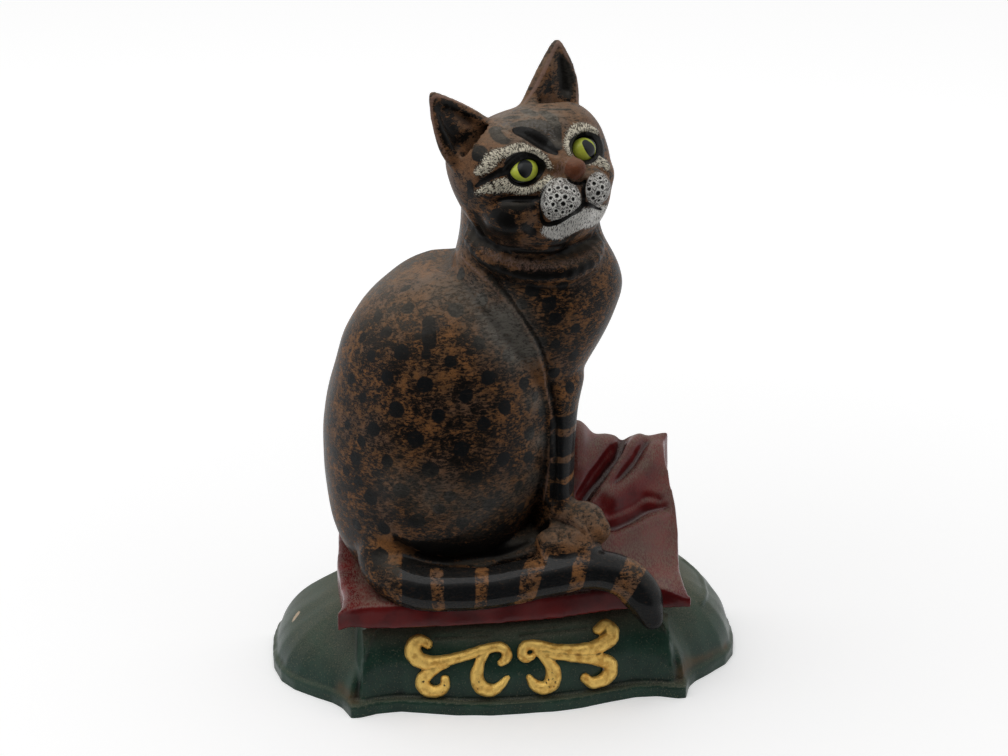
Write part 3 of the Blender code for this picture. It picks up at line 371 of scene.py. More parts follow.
# Where each eye is sunk in black, the hollows of the ears, and the painted highlights along the
# ears' rims
EYE_BLACK = [((524, 169.4), (17.6, 14.2)), ((584.6, 149.6), (14.6, 15.2))]
EAR_INSIDE = [[(440, 108, 0), (446, 120, 0), (453, 134, 0), (458, 144, 0)],
              [(450, 110, 0), (460, 116, 0), (470, 121, 0)],
              [(562, 60, 0), (564, 74, 0), (565, 88, 0)]]
EAR_RIM_HIGHLIGHTS = [[(449, 160, 1), (440, 143, 1.4), (433.5, 126, 1.5), (431, 108, 1.6), (434, 96.4, 1.6),
             (446, 97.4, 1.8), (462, 103.6, 1.8), (477, 111, 1.6), (491, 118, 1.2)],
            [(524, 103, 1.2), (535, 88, 1.6), (545, 69, 1.8), (554, 50, 1.9), (561, 41, 1.8),
             (569.6, 52, 1.4), (575.6, 70, 1.2), (577, 88, 1.2), (577, 101, 1)]]
# Black laid over the brown, partly black paint and partly painted shade: in the ears' hollows, on
# the brow, the cheek and the throat, and in the undercut above the tail
SHADES = [
    [(438, 107, 2), (439.6, 118, 2.6), (443, 131, 2.6), (448, 142, 2.6), (454, 150, 2)],
    [(446, 104.6, 1.4), (457, 109.6, 1.8), (470, 115.4, 1.6), (482, 119, 1.4)],
    [(462, 141, 1.6), (470, 133, 1.4)],
    [(561, 57, 3), (563, 68, 5), (565, 80, 6.4), (567, 90, 4.6), (569, 98, 2)],
    [(551, 83, 2.4), (545, 93, 2)],
    [(520, 126, 4), (531, 125, 6), (543, 128, 7), (552, 137, 6), (556, 147, 4)],
    [(603, 141, 2.4), (603, 153, 3), (604, 161, 1.4)],
    [(476, 214, 3), (482, 226, 3.4)],
    [(395, 537, 3), (408, 543, 5.6), (430, 548, 7.6), (460, 551, 8), (490, 550, 7.6),
     (515, 545, 6.6), (535, 536, 5), (548, 524, 3.4)],
    [(497, 214, 5.6), (505, 221, 6.4), (512, 227, 5)], [(524, 226, 2.6), (532, 233, 3.6)],
    [(506, 204, 3), (520, 205.6, 3.4), (532, 206, 3)],
    [(476, 230, 1.6), (487, 243, 2.6), (505, 249.6, 3), (525, 252, 3.4), (545, 252.6, 3.6),
     (566, 250.6, 3.4), (586, 245, 3.2), (600, 237, 2.6)],
    [(470, 250, 2), (481, 262, 2.6), (498, 270, 2.8), (520, 275.6, 2.8), (545, 276.4, 2.8),
     (570, 273, 2.8), (592, 264, 2.4)],
    [(472, 222, 2.4), (474, 238, 2.4)],
]
# Short strokes of grey over the brow and of dusty rose on the ruff
GREYS = [[(521, 125, 3), (531, 123, 5), (542, 124.6, 5.6), (549, 131, 4.4), (553, 139, 2.6)],
         [(498, 128, 3), (506, 122, 3.6), (516, 126, 3)]]
# Where the varnish has a grey bloom, which is also a painted sheen of light: (across, down,
# reach, share)
BLOOM_AND_SHEEN = [
    (505, 124, 12, 0.55), (528, 113, 12, 0.60), (551, 118, 12, 0.55), (526, 134, 8, 0.30),
    (470, 296, 20, 0.66), (502, 324, 24, 1.2), (524, 352, 18, 1), (436, 286, 22, 0.30),
    (536, 400, 12, 0.50), (538, 440, 11, 0.48), (534, 478, 12, 0.40), (432, 498, 24, 0.36),
    (476, 508, 24, 0.40), (396, 482, 20, 0.30), (512, 496, 16, 0.34), (452, 262, 14, 0.10),
    (396, 312, 20, 0.12),
]
ROSES = [[(481, 247, 2), (490, 254, 3.6), (504, 260.4, 4.6), (520, 264, 4.8), (540, 265.4, 4.6),
          (560, 263.4, 4.4), (578, 258.4, 3.6), (592, 251, 2.4)],
         [(566, 160, 4), (562, 167, 4.4), (556, 173, 4)]]
# Lines worked into the face: (line, width, depth), raised where the depth is negative
FACE_LINES = [
    *((path, 1.9, -0.55) for path in CREAM[:4]),
    (LID_TAIL, 1.2, 0.7), (CHEEK_CREASE, 1.3, 1.3), (BROW, 2.0, 1.3), (NOSE_LINE, 0.6, 0.9),
    (PHILTRUM, 0.8, 1.1), (MOUTH_LEFT, 0.95, 1.4), (MOUTH_RIGHT, 0.85, 1.2),
    (PAD_EDGE, 0.7, 0.7), (JAW, 1.2, 1.1),
    *((path, 2.6, 1.5) for path in EAR_INSIDE),
    *(([spot], 0.6, 0.35) for spot in WHISKER_SPOTS),
]
# Lines and spots that are painted black
INK = [EYE_LINE_LEFT, EYE_LINE_RIGHT, LID_TAIL, CHEEK_CREASE, BROW, NOSE_LINE, PHILTRUM,
       MOUTH_LEFT, MOUTH_RIGHT, PAD_EDGE, *([spot] for spot in WHISKER_SPOTS)]
CHIN_ROW = 206.0        # the photograph's row below which cream fur is the chin's
# Where the brown is warm and thick: (across, down, reach)
WARM = [(446, 265, 8), (451, 329, 9), (402, 384, 7), (537, 381, 6), (386, 541, 9), (498, 300, 5),
        (425, 276, 6), (418, 420, 6), (470, 372, 6), (440, 470, 6), (500, 440, 6)]
# How much brown is brushed over the black, its low shares in the ears' hollows and under the jaw
# and cheek being painted shade: (across, down, reach, share)
HEAD_TONES = [
    (525, 118, 20, 0.86), (480, 138, 13, 1), (462, 160, 12, 0.84), (450, 180, 14, 0.84),
    (560, 162, 10, 1.1), (546, 172, 8, 1.05), (565, 120, 14, 0.94), (595, 118, 10, 0.94),
    (480, 206, 11, 0.52), (500, 222, 13, 0.20), (480, 235, 12, 0.14), (520, 212, 7, 0.56),
    (530, 218, 6, 0.92), (508, 207, 7, 0.14), (530, 236, 8, 0.66), (510, 231, 9, 0.24),
    (600, 226, 9, 0.36), (560, 243, 8, 0.06), (455, 210, 12, 0.66), (460, 235, 12, 0.42),
    (445, 104, 7, 0.44), (446, 120, 6, 0.14), (462, 117, 8, 0.92), (474, 122, 8, 0.96),
    (457, 133, 8, 0.26), (452, 143, 6, 0.52), (470, 132, 6, 0.70),
    (567, 64, 5, 0.04), (568, 78, 5, 0), (566, 92, 5, 0.14), (553, 72, 6, 0.56),
    (550, 88, 6, 0.42), (558, 99, 6, 1), (573, 99, 5, 0.94), (559, 56, 4, 0.30),
    (490, 168, 9, 0.70), (500, 193, 8, 0.60),
]
# Each iris's middle and half sizes, the line of each pupil, and the row where its painted grey
# reflection ends
IRIS = {"eye_left": ((524, 169.6), (14, 11.8)), "eye_right": ((583.4, 150.2), (12.2, 12.4))}
PUPIL = {"eye_left": [(525, 167.4, 7.8), (525.3, 172, 5.8), (525.6, 177.6, 0.8)],
         "eye_right": [(585.4, 143, 3.4), (589.4, 148, 5), (591.2, 153.4, 3.4),
                       (592.2, 157.8, 0.9)]}
PUPIL_REFLECTION_ROW = {"eye_left": 170, "eye_right": 156.0}
EYE_MIDDLES = ((524.0, 169.5), (583.0, 149.0))    # where the cream hairs spread from

# In the object's frame: the haunch's front ridge and the groove beside it
RIDGE = [(-17.1, 3.4, 169.3, 1), (-8.3, -9.4, 163, 1), (-0.2, -15.4, 153.5, 1),
         (7.8, -16.5, 139.2, 1), (12.8, -13, 117.7, 1), (14.2, -13.9, 97.8, 1),
         (12.1, -12.1, 76.6, 1)]
GROOVE = [(-13.6, -3.6, 171.4, 0.8), (-5.8, -10.5, 163.4, 1), (1.9, -15.6, 153.4, 1),
          (10, -16.6, 138.6, 1), (14.9, -12.9, 117.6, 1), (16, -14.1, 97.8, 1),
          (14.6, -15.3, 77.9, 1)]
UNDERCUT = [(-45, -21.5, 66, 0.8), (-36, -22, 60, 1.2), (-24, -20, 57.4, 1.4),
            (-8, -18, 57, 1.4), (4, -16, 60, 1.2), (10, -14, 66, 1)]
BODY_LINES = [(RIDGE, 1.3, -0.7), (GROOVE, 1.2, 1.35), (UNDERCUT, 1.8, 1.3)]
# In the photograph's pixels: the creases between the toes and between the paws
TOE_LINES = [
    [(581, 512, 0.6), (586, 522, 1), (590, 532, 0.8)],
    [(596, 511, 0.5), (602, 520, 0.9), (605.6, 530, 0.7)],
    [(552, 519, 0.6), (563, 523, 1), (574, 527, 1), (584, 534, 0.8)],
    [(557, 531, 0.5), (560, 538, 0.6)], [(569, 533, 0.5), (571, 541, 0.6)],
]
# Black dots on the body, seen from the front: (x, z, radius)
BODY_DOTS = [
    (-27.5, 161, 2.4), (-37.8, 157, 2.2), (-17.6, 163.2, 2.4), (-48.8, 148.6, 2.3),
    (-38.1, 153.5, 2.6), (-21, 154.2, 3), (-11.1, 156.9, 2.4), (-4.1, 148.9, 2.6),
    (-46.3, 145.7, 2.4), (-54.6, 141.4, 2), (-41.5, 140.4, 2.9), (-52.2, 137, 2.2),
    (-13.4, 143.6, 2.2), (-2.6, 137.9, 2.5), (-32.9, 140.5, 1.9), (-24.3, 138.5, 2.2),
    (-59.5, 126.7, 2.2), (-46.8, 131.3, 2.6), (-33.7, 130.5, 3), (-10.5, 131.7, 2.7),
    (3, 127, 2.3), (-19, 126.1, 2.5), (-55.7, 121.7, 2), (-44.1, 120.5, 3.1),
    (-29.2, 119.5, 2.6), (-4.7, 120.2, 2.6), (-12.7, 115.3, 2.6), (-52.4, 111.7, 2.8),
    (-37.6, 110.3, 3), (-21.1, 106.5, 3), (-5.2, 100.1, 2.8), (-47.8, 100.5, 2.4),
    (-32.6, 98.6, 3.2), (-59.1, 98.4, 2.4), (-15.7, 94.7, 2.6), (5.2, 107.1, 2.6),
    (-61.4, 110, 1.8), (-56.8, 105.7, 2), (-62.4, 91.7, 2), (-54, 83.7, 2.9),
    (-65.2, 81.8, 1.8), (-57.4, 75.8, 1.6), (-58.2, 89.3, 2.2), (-37.4, 76.7, 3.2),
    (-29.3, 82.2, 2.3), (-10.3, 81.8, 2.6), (2.3, 76, 2.2), (-20.7, 75.5, 2.4),
    (-59, 69.7, 2.5), (-49.3, 71.6, 2.6), (-5.6, 69.5, 2), (-25.4, 87.4, 2.4),
    (-43.1, 89.3, 3.2), (-51.2, 60.8, 3.2), (4.7, 97.8, 2.4), (1.2, 86.6, 2.2),
    (6.4, 162.3, 2.7), (17.4, 163.8, 2.3), (12.4, 157, 2.8), (14.6, 151.4, 2.5),
    (22.6, 146.4, 2), (2.4, 157, 2.2), (14.9, 141.1, 2), (22.3, 134.3, 2.3),
    (15.1, 128.6, 2.4), (21.5, 121.3, 2.3), (6.4, 138.1, 1.9), (3.3, 127, 2.3),
    (7.6, 120.7, 1.9), (10.3, 114.2, 2.1), (9.8, 142.5, 2.2),
]
# A square dab of black on the haunch, in the object's frame and in the photograph's pixels
DAB = [(-30.9, -12.7, 150, 2.5), (-31.1, -15.4, 147.1, 2.5), (-31.4, -18, 144.4, 2.5)]
DAB_SEEN = [(478, 338, 3), (479, 345, 5)]
# Brown bands round the tail and the leg: (x, y, z, half width)
TAIL_BANDS = [
    [(-30.6, -26.5, 59.2, 2.4), (-31, -34, 54.2, 2.6), (-30.6, -35.7, 44, 2.4)],
    [(-13.6, -27, 60.4, 2.7), (-14.5, -35.3, 54.6, 2.5), (-15.4, -36.9, 43, 2.2)],
    [(9.6, -22, 66, 4.2), (8.2, -27, 62, 4), (4.2, -34.8, 57.5, 3.9),
     (1, -36.9, 46, 3.6)],
    [(26.6, -25, 66, 2.7), (24.8, -32, 63.6, 2.7), (22.4, -34.5, 59.2, 2.9),
     (19.6, -36.6, 48, 2.9)],
    [(48, -26, 58, 4.2), (44, -31.3, 57, 4.4), (39.6, -36.2, 52.5, 4.4),
     (35.6, -34, 42, 3.4)],
]
LEG_BANDS = [
    [(12, -13, 112.5, 0.9), (20, -12, 112.5, 1.2), (26, -5, 112.5, 0.8)],
    [(15, -13.4, 104.8, 1.2), (20, -12.6, 103.8, 1.7), (26, -5, 103, 1.4)],
    [(15, -14.2, 93.6, 1.3), (20, -13.6, 93.2, 1.5), (26, -5, 93, 1.2)],
    [(15, -15.4, 85.6, 1.2), (20, -14.6, 85, 1.5), (26, -5, 84.6, 1.2)],
]
TAIL_ROOT = 402.0       # the photograph's column where the tail's black begins
TAIL_DULL = 630.0       # and the column past which the tail is less glossy
# How much brown is brushed over the black, its low shares just above the tail being painted
# shadow: (x, y, z, reach, share)
BRUSHED = [
    (-30, 10, 160, 13, 0.90), (-15, 0, 165, 8, 0.86),
    (-25, -10, 150, 14, 0.66), (-30, -27, 116, 20, 0.50),
    (-64, -5, 120, 14, 0.60), (-64, -5, 80, 14, 0.52),
    (-30, -27, 82, 14, 0.46), (-47, -21, 67, 5.5, 1.10),
    (-43, -22, 62, 4, 1.10), (-56, -12, 62, 7, 0.40),
    (-16, -20, 60, 10, 0.10), (-34, -22, 60, 5, 0.10),
    (8, -19, 108, 9, 0.62), (5, -18, 133, 3.6, 1.00),
    (10, -16, 124, 3.4, 1.00), (11, -15, 134, 3, 1.05),
    (5, -15, 168, 9, 0.44), (20, -15, 152, 13, 0.54),
    (38, 0, 150, 10, 0.52), (31, -9, 163, 4, 0.92),
    (17, -14, 130, 9, 0.56), (17, -26, 64, 8, 0.92),
    (28, -20, 68, 9, 0.95), (36, -14, 185, 8, 0.40),
]
# Where the brown is orange, and where it is dusty, which on the haunch's left edge, top and low
# front is also painted sheen: (x, y, z, reach, share)
ORANGE = [(-46.0, -21.0, 65.0, 6.0, 0.6), (5.0, -18.0, 133.0, 4.0, 0.6),
          (10.0, -16.0, 124.0, 3.6, 0.6), (11.0, -15.0, 134.0, 3.0, 0.6)]
DUSTY_AND_SHEEN = [(28.0, -20.0, 69.0, 11.0, 0.7), (15.0, -25.0, 66.0, 9.0, 0.5),
         (-64.0, 0.0, 100.0, 18.0, 0.3), (-30.0, 5.0, 160.0, 20.0, 0.2),
         (-30.0, -27.0, 72.0, 14.0, 0.25), (5.0, -16.0, 172.0, 8.0, 0.3)]

# ---------------------------------------------------------------------- shapes and tables


def finer(rows, steps):
    """Rows on a smooth curve through the given rows, all of their values alike."""
    fine = []
    for i in range(len(rows) - 1):
        a, b = rows[max(i - 1, 0)], rows[i]
        c, d = rows[i + 1], rows[min(i + 2, len(rows) - 1)]
        for k in range(steps):
            t = k / steps
            fine.append(tuple(
                0.5 * (2 * q + (r - p) * t + (2 * p - 5 * q + 4 * r - s) * t * t
                       + (3 * q - p - 3 * r + s) * t ** 3)
                for p, q, r, s in zip(a, b, c, d)))
    fine.append(tuple(rows[-1]))
    return fine


def along(table, place):
    """Read a table of (position, values...) at a place between its rows."""
    for low, high in zip(table[:-1], table[1:]):
        if place <= high[0]:
            t = max(0.0, (place - low[0]) / (high[0] - low[0]))
            return [a + (b - a) * t for a, b in zip(low[1:], high[1:])]
    return list(table[-1][1:])


def head_matrix():
    """Where the head's own frame sits in the object: it looks up and to the right."""
    yaw, pitch, roll = (math.radians(a) for a in (HEAD_YAW, HEAD_PITCH, HEAD_ROLL))
    facing = Vector((math.sin(yaw) * math.cos(pitch), -math.cos(yaw) * math.cos(pitch),
                     math.sin(pitch)))
    right = Vector((math.cos(yaw), math.sin(yaw), 0.0))
    up = right.cross(-facing)
    right, up = (right * math.cos(roll) + up * math.sin(roll),
                 up * math.cos(roll) - right * math.sin(roll))
    return Matrix.Translation(HEAD_ORIGIN) @ Matrix((right, -facing, up)).transposed().to_4x4()


HEAD = head_matrix()


def camera_matrix():
    """Where the camera stands, in millimetres, looking down its own -Z."""
    turn, rise = math.radians(CAMERA_TURN), math.radians(CAMERA_RISE)
    back = Vector((-math.sin(turn) * math.cos(rise), -math.cos(turn) * math.cos(rise),
                   math.sin(rise)))
    look = (-back).to_track_quat("-Z", "Y").to_matrix().to_4x4()
    return Matrix.Translation(Vector(CAMERA_TARGET) + CAMERA_DISTANCE * back) @ look


CAMERA = camera_matrix()
FOCAL = CAMERA_LENS / SENSOR * PHOTO_SIZE[0]


def sight(across, down):
    """The line of sight through a pixel of the photograph: its start and its direction."""
    run = Vector(((across - PHOTO_SIZE[0] / 2) / FOCAL, (PHOTO_SIZE[1] / 2 - down) / FOCAL, -1.0))
    return CAMERA.translation, (CAMERA.to_3x3() @ run).normalized()


def to_photo(points):
    """The photograph's pixels at which points of the object are seen."""
    back = np.array(CAMERA.inverted())
    seen = points @ back[:3, :3].T + back[:3, 3]
    return np.stack((PHOTO_SIZE[0] / 2 - FOCAL * seen[:, 0] / seen[:, 2],
                     PHOTO_SIZE[1] / 2 + FOCAL * seen[:, 1] / seen[:, 2]), axis=1)


def body_rings(table, back_radius=BACK_RADIUS, widest=WIDEST, inset=0.0, sides=72):
    """Level sections of the body: a half ellipse in front, a flatter one behind."""
    rings = []
    for height, left, right, front in table:
        left, right, front = left + inset, right - inset, front + inset
        middle, half = (left + right) / 2, (right - left) / 2
        ring = []
        for i in range(sides):
            angle = 2 * math.pi * i / sides
            depth = math.sin(angle)
            reach = back_radius - inset if depth > 0 else widest - front
            ring.append((middle + half * math.cos(angle), widest + reach * depth, height))
        rings.append(ring)
    return rings


def skull_rings():
    """Level sections of the head, squarer in front than behind."""
    rings = []
    for height, half, front, back, aside in finer(SKULL, 4) + [SKULL_CROWN]:
        middle, reach = (front + back) / 2, (back - front) / 2
        ring = []
        for i in range(64):
            angle = 2 * math.pi * i / 64
            across, deep = math.cos(angle), math.sin(angle)
            power = SKULL_SQUARENESS if deep < 0 else 2.0
            size = (abs(across) ** power + abs(deep) ** power) ** (-1 / power)
            point = (aside + half * across * size, middle + reach * deep * size, height)
            ring.append(HEAD @ Vector(point))
        rings.append(ring)
    return rings


def ear_rings(side, shrink=1.0, forward=0.0):
    """A pointed ear, wide at its root, leaning outwards."""
    root, apex, half_width = EARS[side]
    root, apex = Vector(root), Vector(apex)
    across = Vector(EAR_ACROSS).normalized()
    rings = []
    for k in range(17):
        t = -EAR_ROOT + (1.0 + EAR_ROOT) * k / 16
        rise = max(t, 0.0)
        centre = root.lerp(apex, t) + Vector((0.0, -forward, 0.0))
        centre = centre + across * EAR_BULGE * math.sin(math.pi * rise)
        swell = max(1.0 - rise ** 1.7, 0.0) ** 0.85 + 0.06
        half = half_width * swell * shrink
        thick = max(EAR_HALF_DEPTH * (1.0 - 0.72 * rise) * shrink, 0.8)
        ring = []
        for i in range(32):
            angle = 2 * math.pi * i / 32
            point = centre + across * half * math.cos(angle)
            point = point + Vector((0.0, thick * math.sin(angle), 0.0))
            ring.append(HEAD @ Vector((side * point.x, point.y, point.z)))
        rings.append(ring)
    return rings


def tube_rings(path, sides=24):
    """Round sections square to a line of (x, y, z, radius)."""
    points = [Vector(p[:3]) for p in path]
    rings = []
    for i, point in enumerate(points):
        run = (points[min(i + 1, len(points) - 1)] - points[max(i - 1, 0)]).normalized()
        side = run.cross(Vector((0.0, 1.0, 0.0)))
        side = side.normalized() if side.length > 0.01 else Vector((1.0, 0.0, 0.0))
        lift = side.cross(run)
        rings.append([point + path[i][3] * (side * math.cos(a) + lift * math.sin(a))
                      for a in (2 * math.pi * k / sides for k in range(sides))])
    return rings


def outline(half, setback):
    """A whole plinth outline from its half, moved inwards by the setback."""
    ring = [Vector((-x, y)) for x, y in reversed(half[1:])] + [Vector(p) for p in half]
    count = len(ring)
    moved = []
    for i, point in enumerate(ring):
        before = point - ring[max(i - 1, 0)]
        after = ring[min(i + 1, count - 1)] - point
        run = before.normalized() if before.length else after.normalized()
        run = (run + (after.normalized() if after.length else run)).normalized()
        moved.append(point + Vector((-run.y, run.x)) * setback)
    return [(p.x, p.y) for p in moved]


def stack_rings(half, profile):
    return [[(x, y, height) for x, y in outline(half, setback)] for height, setback in profile]


def lobe_rings(side):
    """A domed side lobe: the foot's outline drawn in towards a line under the cushion."""
    rings = []
    for height, setback in finer(LOBE_PROFILE, 2):
        height, setback = height * LOBE_FULLNESS[side][0], setback * LOBE_FULLNESS[side][1]
        ring = []
        for x, y in FOOT_HALF[8:]:
            inward = setback * (x - 30.0) / 62.0
            ring.append((side * (x - inward), y + setback * max(0.0, -y + 12.0) / 45.0, height))
        ring.append((side * 30.0, 44.0, height))
        ring.append((side * 30.0, -22.0 + setback * 0.7, height))
        rings.append(ring)
    return rings


def face_depth(x, z):
    """Depth of the middle block's leaning face."""
    return along(BLOCK_HALF, abs(x))[0] + along(BLOCK_PROFILE, z)[0]


def ease(value, low, high):
    """0 below the low value, 1 above the high one, and a smooth rise between."""
    t = min(max((value - low) / (high - low), 0.0), 1.0)
    return t * t * (3 - 2 * t)


# --------------------------------------------------------------- modelling, step by step


def deselect():
    if bpy.context.object and bpy.context.object.mode != "OBJECT":
        bpy.ops.object.mode_set(mode="OBJECT")
    bpy.ops.object.select_all(action="DESELECT")


def take(item):
    """Make one object the selected and active one."""
    deselect()
    item.select_set(True)
    bpy.context.view_layer.objects.active = item
    return item


def added(name, operator, **settings):
    """A new primitive or lamp, added with nothing else selected."""
    deselect()
    operator(**settings)
    item = bpy.context.object
    item.name = name
    return item


def edited(item, *steps):
    """Run edit mode operators, each with its settings, on all of a piece."""
    take(item)
    bpy.ops.object.mode_set(mode="EDIT")
    bpy.ops.mesh.select_all(action="SELECT")
    for operator, settings in steps:
        operator(**settings)
    bpy.ops.object.mode_set(mode="OBJECT")
    return item


def outwards(item):
    """Turn every face of a closed piece outwards."""
    return edited(item, (bpy.ops.mesh.normals_make_consistent, {"inside": False}))


def loft(name, rings):
    """A disc drawn up row by row, each row laid on its own section."""
    sides = len(rings[0])
    item = added(name, bpy.ops.mesh.primitive_circle_add, vertices=sides, radius=1.0,
                 fill_type="NGON")
    up = {"TRANSFORM_OT_translate": {"value": (0.0, 0.0, 1.0)}}
    edited(item, *[(bpy.ops.mesh.extrude_region_move, up)] * (len(rings) - 1))
    for vertex in item.data.vertices:
        x, y, z = vertex.co
        number = math.floor(math.atan2(y, x) * sides / (2 * math.pi) + 0.1) % sides
        vertex.co = Vector(rings[round(z)][number]) * MM
    return outwards(item)


def ball(name, centre, radii, matrix=None, segments=32):
    item = added(name, bpy.ops.mesh.primitive_uv_sphere_add, segments=segments,
                 ring_count=segments // 2, radius=1.0)
    shape = Matrix.Translation(centre) @ Matrix.Diagonal(radii).to_4x4()
    item.data.transform(Matrix.Scale(MM, 4) @ (matrix or Matrix.Identity(4)) @ shape)
    return item


def block(name, low, high):
    item = added(name, bpy.ops.mesh.primitive_cube_add, size=1.0)
    size = [h - l for l, h in zip(low, high)]
    middle = [(l + h) / 2 for l, h in zip(low, high)]
    item.data.transform(Matrix.Scale(MM, 4) @ Matrix.Translation(middle)
                        @ Matrix.Diagonal(size).to_4x4())
    return item


def rod(name, start, end, radius, sides=32):
    """A round bar between two points."""
    start, end = Vector(start), Vector(end)
    run = end - start
    item = added(name, bpy.ops.mesh.primitive_cylinder_add, vertices=sides, radius=radius,
                 depth=run.length)
    turn = run.to_track_quat("Z", "Y").to_matrix().to_4x4()
    item.data.transform(Matrix.Scale(MM, 4) @ Matrix.Translation((start + end) / 2) @ turn)
    return item


def tube(name, path, sides=24):
    """A round tapering tube with rounded ends, as three pieces still to be melted."""
    return [loft(name, tube_rings(path, sides)),
            *(ball(name, end[:3], (end[3],) * 3, segments=24) for end in (path[0], path[-1]))]


def join(items, name):
    deselect()
    for item in items:
        item.select_set(True)
    bpy.context.view_layer.objects.active = items[0]
    bpy.ops.object.join()
    items[0].name = name
    return items[0]


def finish_with(item, kind, **settings):
    """Add a modifier, set it and apply it."""
    take(item)
    modifier = item.modifiers.new("step", kind)
    for key, value in settings.items():
        setattr(modifier, key, value)
    bpy.ops.object.modifier_apply(modifier=modifier.name)
    return item


def melt(item, grain, rounds):
    """Melt overlapping masses into one skin and soften it."""
    finish_with(item, "REMESH", mode="VOXEL", voxel_size=grain * MM)
    return finish_with(item, "SMOOTH", factor=0.5, iterations=rounds)


def cut(item, cutter, keep=False):
    """Cut one piece away from another, whose new faces take the cutter's material."""
    finish_with(item, "BOOLEAN", operation="DIFFERENCE", solver="MANIFOLD", object=cutter)
    if not len(item.data.polygons):
        raise RuntimeError("nothing is left of %s after a cut" % item.name)
    if not keep:
        bpy.data.objects.remove(cutter, do_unlink=True)
    return item


def coated(item, material):
    item.data.materials.clear()
    item.data.materials.append(material)
    return item


def bare(cutter):
    """A cutter that leaves bare iron, whose material is made once."""
    return coated(cutter, bpy.data.materials.get("bare_iron") or iron_finish())


def bore(item, low, high):
    """Bore the clamp screws' holes from one height to another."""
    for x, y in CLAMP_SCREWS:
        cut(item, bare(rod("hole", (x, y, low), (x, y, high), CLAMP_HOLE)))


def swell(item, amount):
    """Move a skin out along its normals, to make room round it."""
    take(item)
    clay = Clay(item)
    clay.push(np.full(len(clay.points), amount))
    clay.save()
    return item


class Clay:
    """A piece's surface as numbers in millimetres, to be worked over along drawn lines."""

    def __init__(self, item):
        self.item = item
        mesh = item.data
        count = len(mesh.vertices)
        points = np.empty(count * 3, np.float32)
        mesh.vertices.foreach_get("co", points)
        self.points = points.reshape(-1, 3).astype(float) / MM
        normals = np.empty(count * 3, np.float32)
        mesh.vertex_normals.foreach_get("vector", normals)
        self.normals = normals.reshape(-1, 3).astype(float)

    def push(self, amount):
        """Move each point out along its normal."""
        self.points += self.normals * amount[:, None]

    def save(self):
        self.item.data.vertices.foreach_set("co", (self.points * MM).astype(np.float32).ravel())
        self.item.data.update()

    def hills(self, size, height, seed):
        """The gentle unevenness of a sand casting."""
        offset = Vector((seed, 2.0 * seed, 3.0 * seed))
        bumps = [noise.noise(Vector(p) / size + offset) for p in self.points]
        self.push(np.array(bumps) * height)

    def groove(self, path, width, depth):
        """Press a soft line in, or raise it where the depth is negative."""
        gap = np.maximum(stroke_gap(self.points, path, False), 0.0)
        self.push(-depth * np.exp(-(gap / width) ** 2))

    def mark(self, name, values):
        """Lay a number on every point for the paint to read."""
        attribute = self.item.data.attributes.new(name, "FLOAT", "POINT")
        attribute.data.foreach_set("value", np.asarray(values, np.float32))

    def cavity(self, rounds=6):
        """How far each point lies below its neighbourhood, in millimetres."""
        mesh = self.item.data
        edges = np.empty(len(mesh.edges) * 2, np.int32)
        mesh.edges.foreach_get("vertices", edges)
        a, b = edges.reshape(-1, 2).T
        count = np.maximum(np.bincount(a, minlength=len(self.points))
                           + np.bincount(b, minlength=len(self.points)), 1)
        smooth = self.points.copy()
        for _ in range(rounds):
            total = np.zeros_like(smooth)
            for axis in range(3):
                total[:, axis] = (np.bincount(a, smooth[b, axis], len(smooth))
                                  + np.bincount(b, smooth[a, axis], len(smooth)))
            smooth = total / count[:, None]
        return np.einsum("ij,ij->i", smooth - self.points, self.normals)


def stroke_gap(points, path, less_width=True):
    """Distance from each point to a line of (x, y, z, half width), less its half width."""
    path = list(path)
    if len(path) == 1:
        path = path * 2
    best = np.full(len(points), 1e3)
    for a, b in zip(path[:-1], path[1:]):
        start = np.array(a[:3], float)
        run = np.array(b[:3], float) - start
        share = np.clip((points - start) @ run / max(run @ run, 1e-9), 0.0, 1.0)
        gap = np.linalg.norm(points - start - share[:, None] * run, axis=1)
        if less_width:
            gap = gap - (a[3] + (b[3] - a[3]) * share)
        best = np.minimum(best, gap)
    return best


def nearest_line(points, paths, gap=FAR):
    """Distance from each point to the nearest of several lines, less their half widths."""
    return np.minimum.reduce([np.full(len(points), gap),
                              *(stroke_gap(points, path) for path in paths)])


def patch(points, place, reach):
    """1 at a place, fading away round it over the reach."""
    return np.exp(-(np.linalg.norm(points - np.array(place), axis=1) / reach) ** 2)


def patch_sum(points, zones):
    """The sum of patches of different shares."""
    return sum(share * patch(points, place, reach) for *place, reach, share in zones)


def blend_zones(points, zones, base, weight):
    """A share that eases from zone to zone over a surface."""
    total = np.full(len(points), base * weight)
    weights = np.full(len(points), weight)
    for *place, reach, share in zones:
        near = patch(points, place, reach)
        total += near * share
        weights += near
    return total / weights


class Surface:
    """A skin that lines can be laid on."""

    def __init__(self, item):
        self.tree = BVHTree.FromObject(item, bpy.context.evaluated_depsgraph_get())

    def snap(self, path):
        """Each point of a line moved to the nearest place on the skin."""
        return [(*(self.tree.find_nearest(Vector(p[:3]) * MM)[0] / MM), *p[3:]) for p in path]

    def shown(self, path, steps=3):
        """Where a line of the photograph, given in its pixels, falls on the skin."""
        line = []
        for across, down, half in (finer(path, steps) if len(path) > 1 else path):
            start, run = sight(across, down)
            hit = self.tree.ray_cast(start * MM, run)[0]
            if hit:
                line.append((*(hit / MM), half * PIXEL))
        if not line:
            raise RuntimeError("a line of the photograph misses the cat")
        return line

    def front(self, x, z):
        """The place on the skin that is seen at x and z from straight in front."""
        hit = self.tree.ray_cast(Vector((x, -BEYOND, z)) * MM, Vector((0.0, 1.0, 0.0)))[0]
        return hit / MM if hit else Vector((x, BACK, z))


# ------------------------------------------------------------------------------- finishes


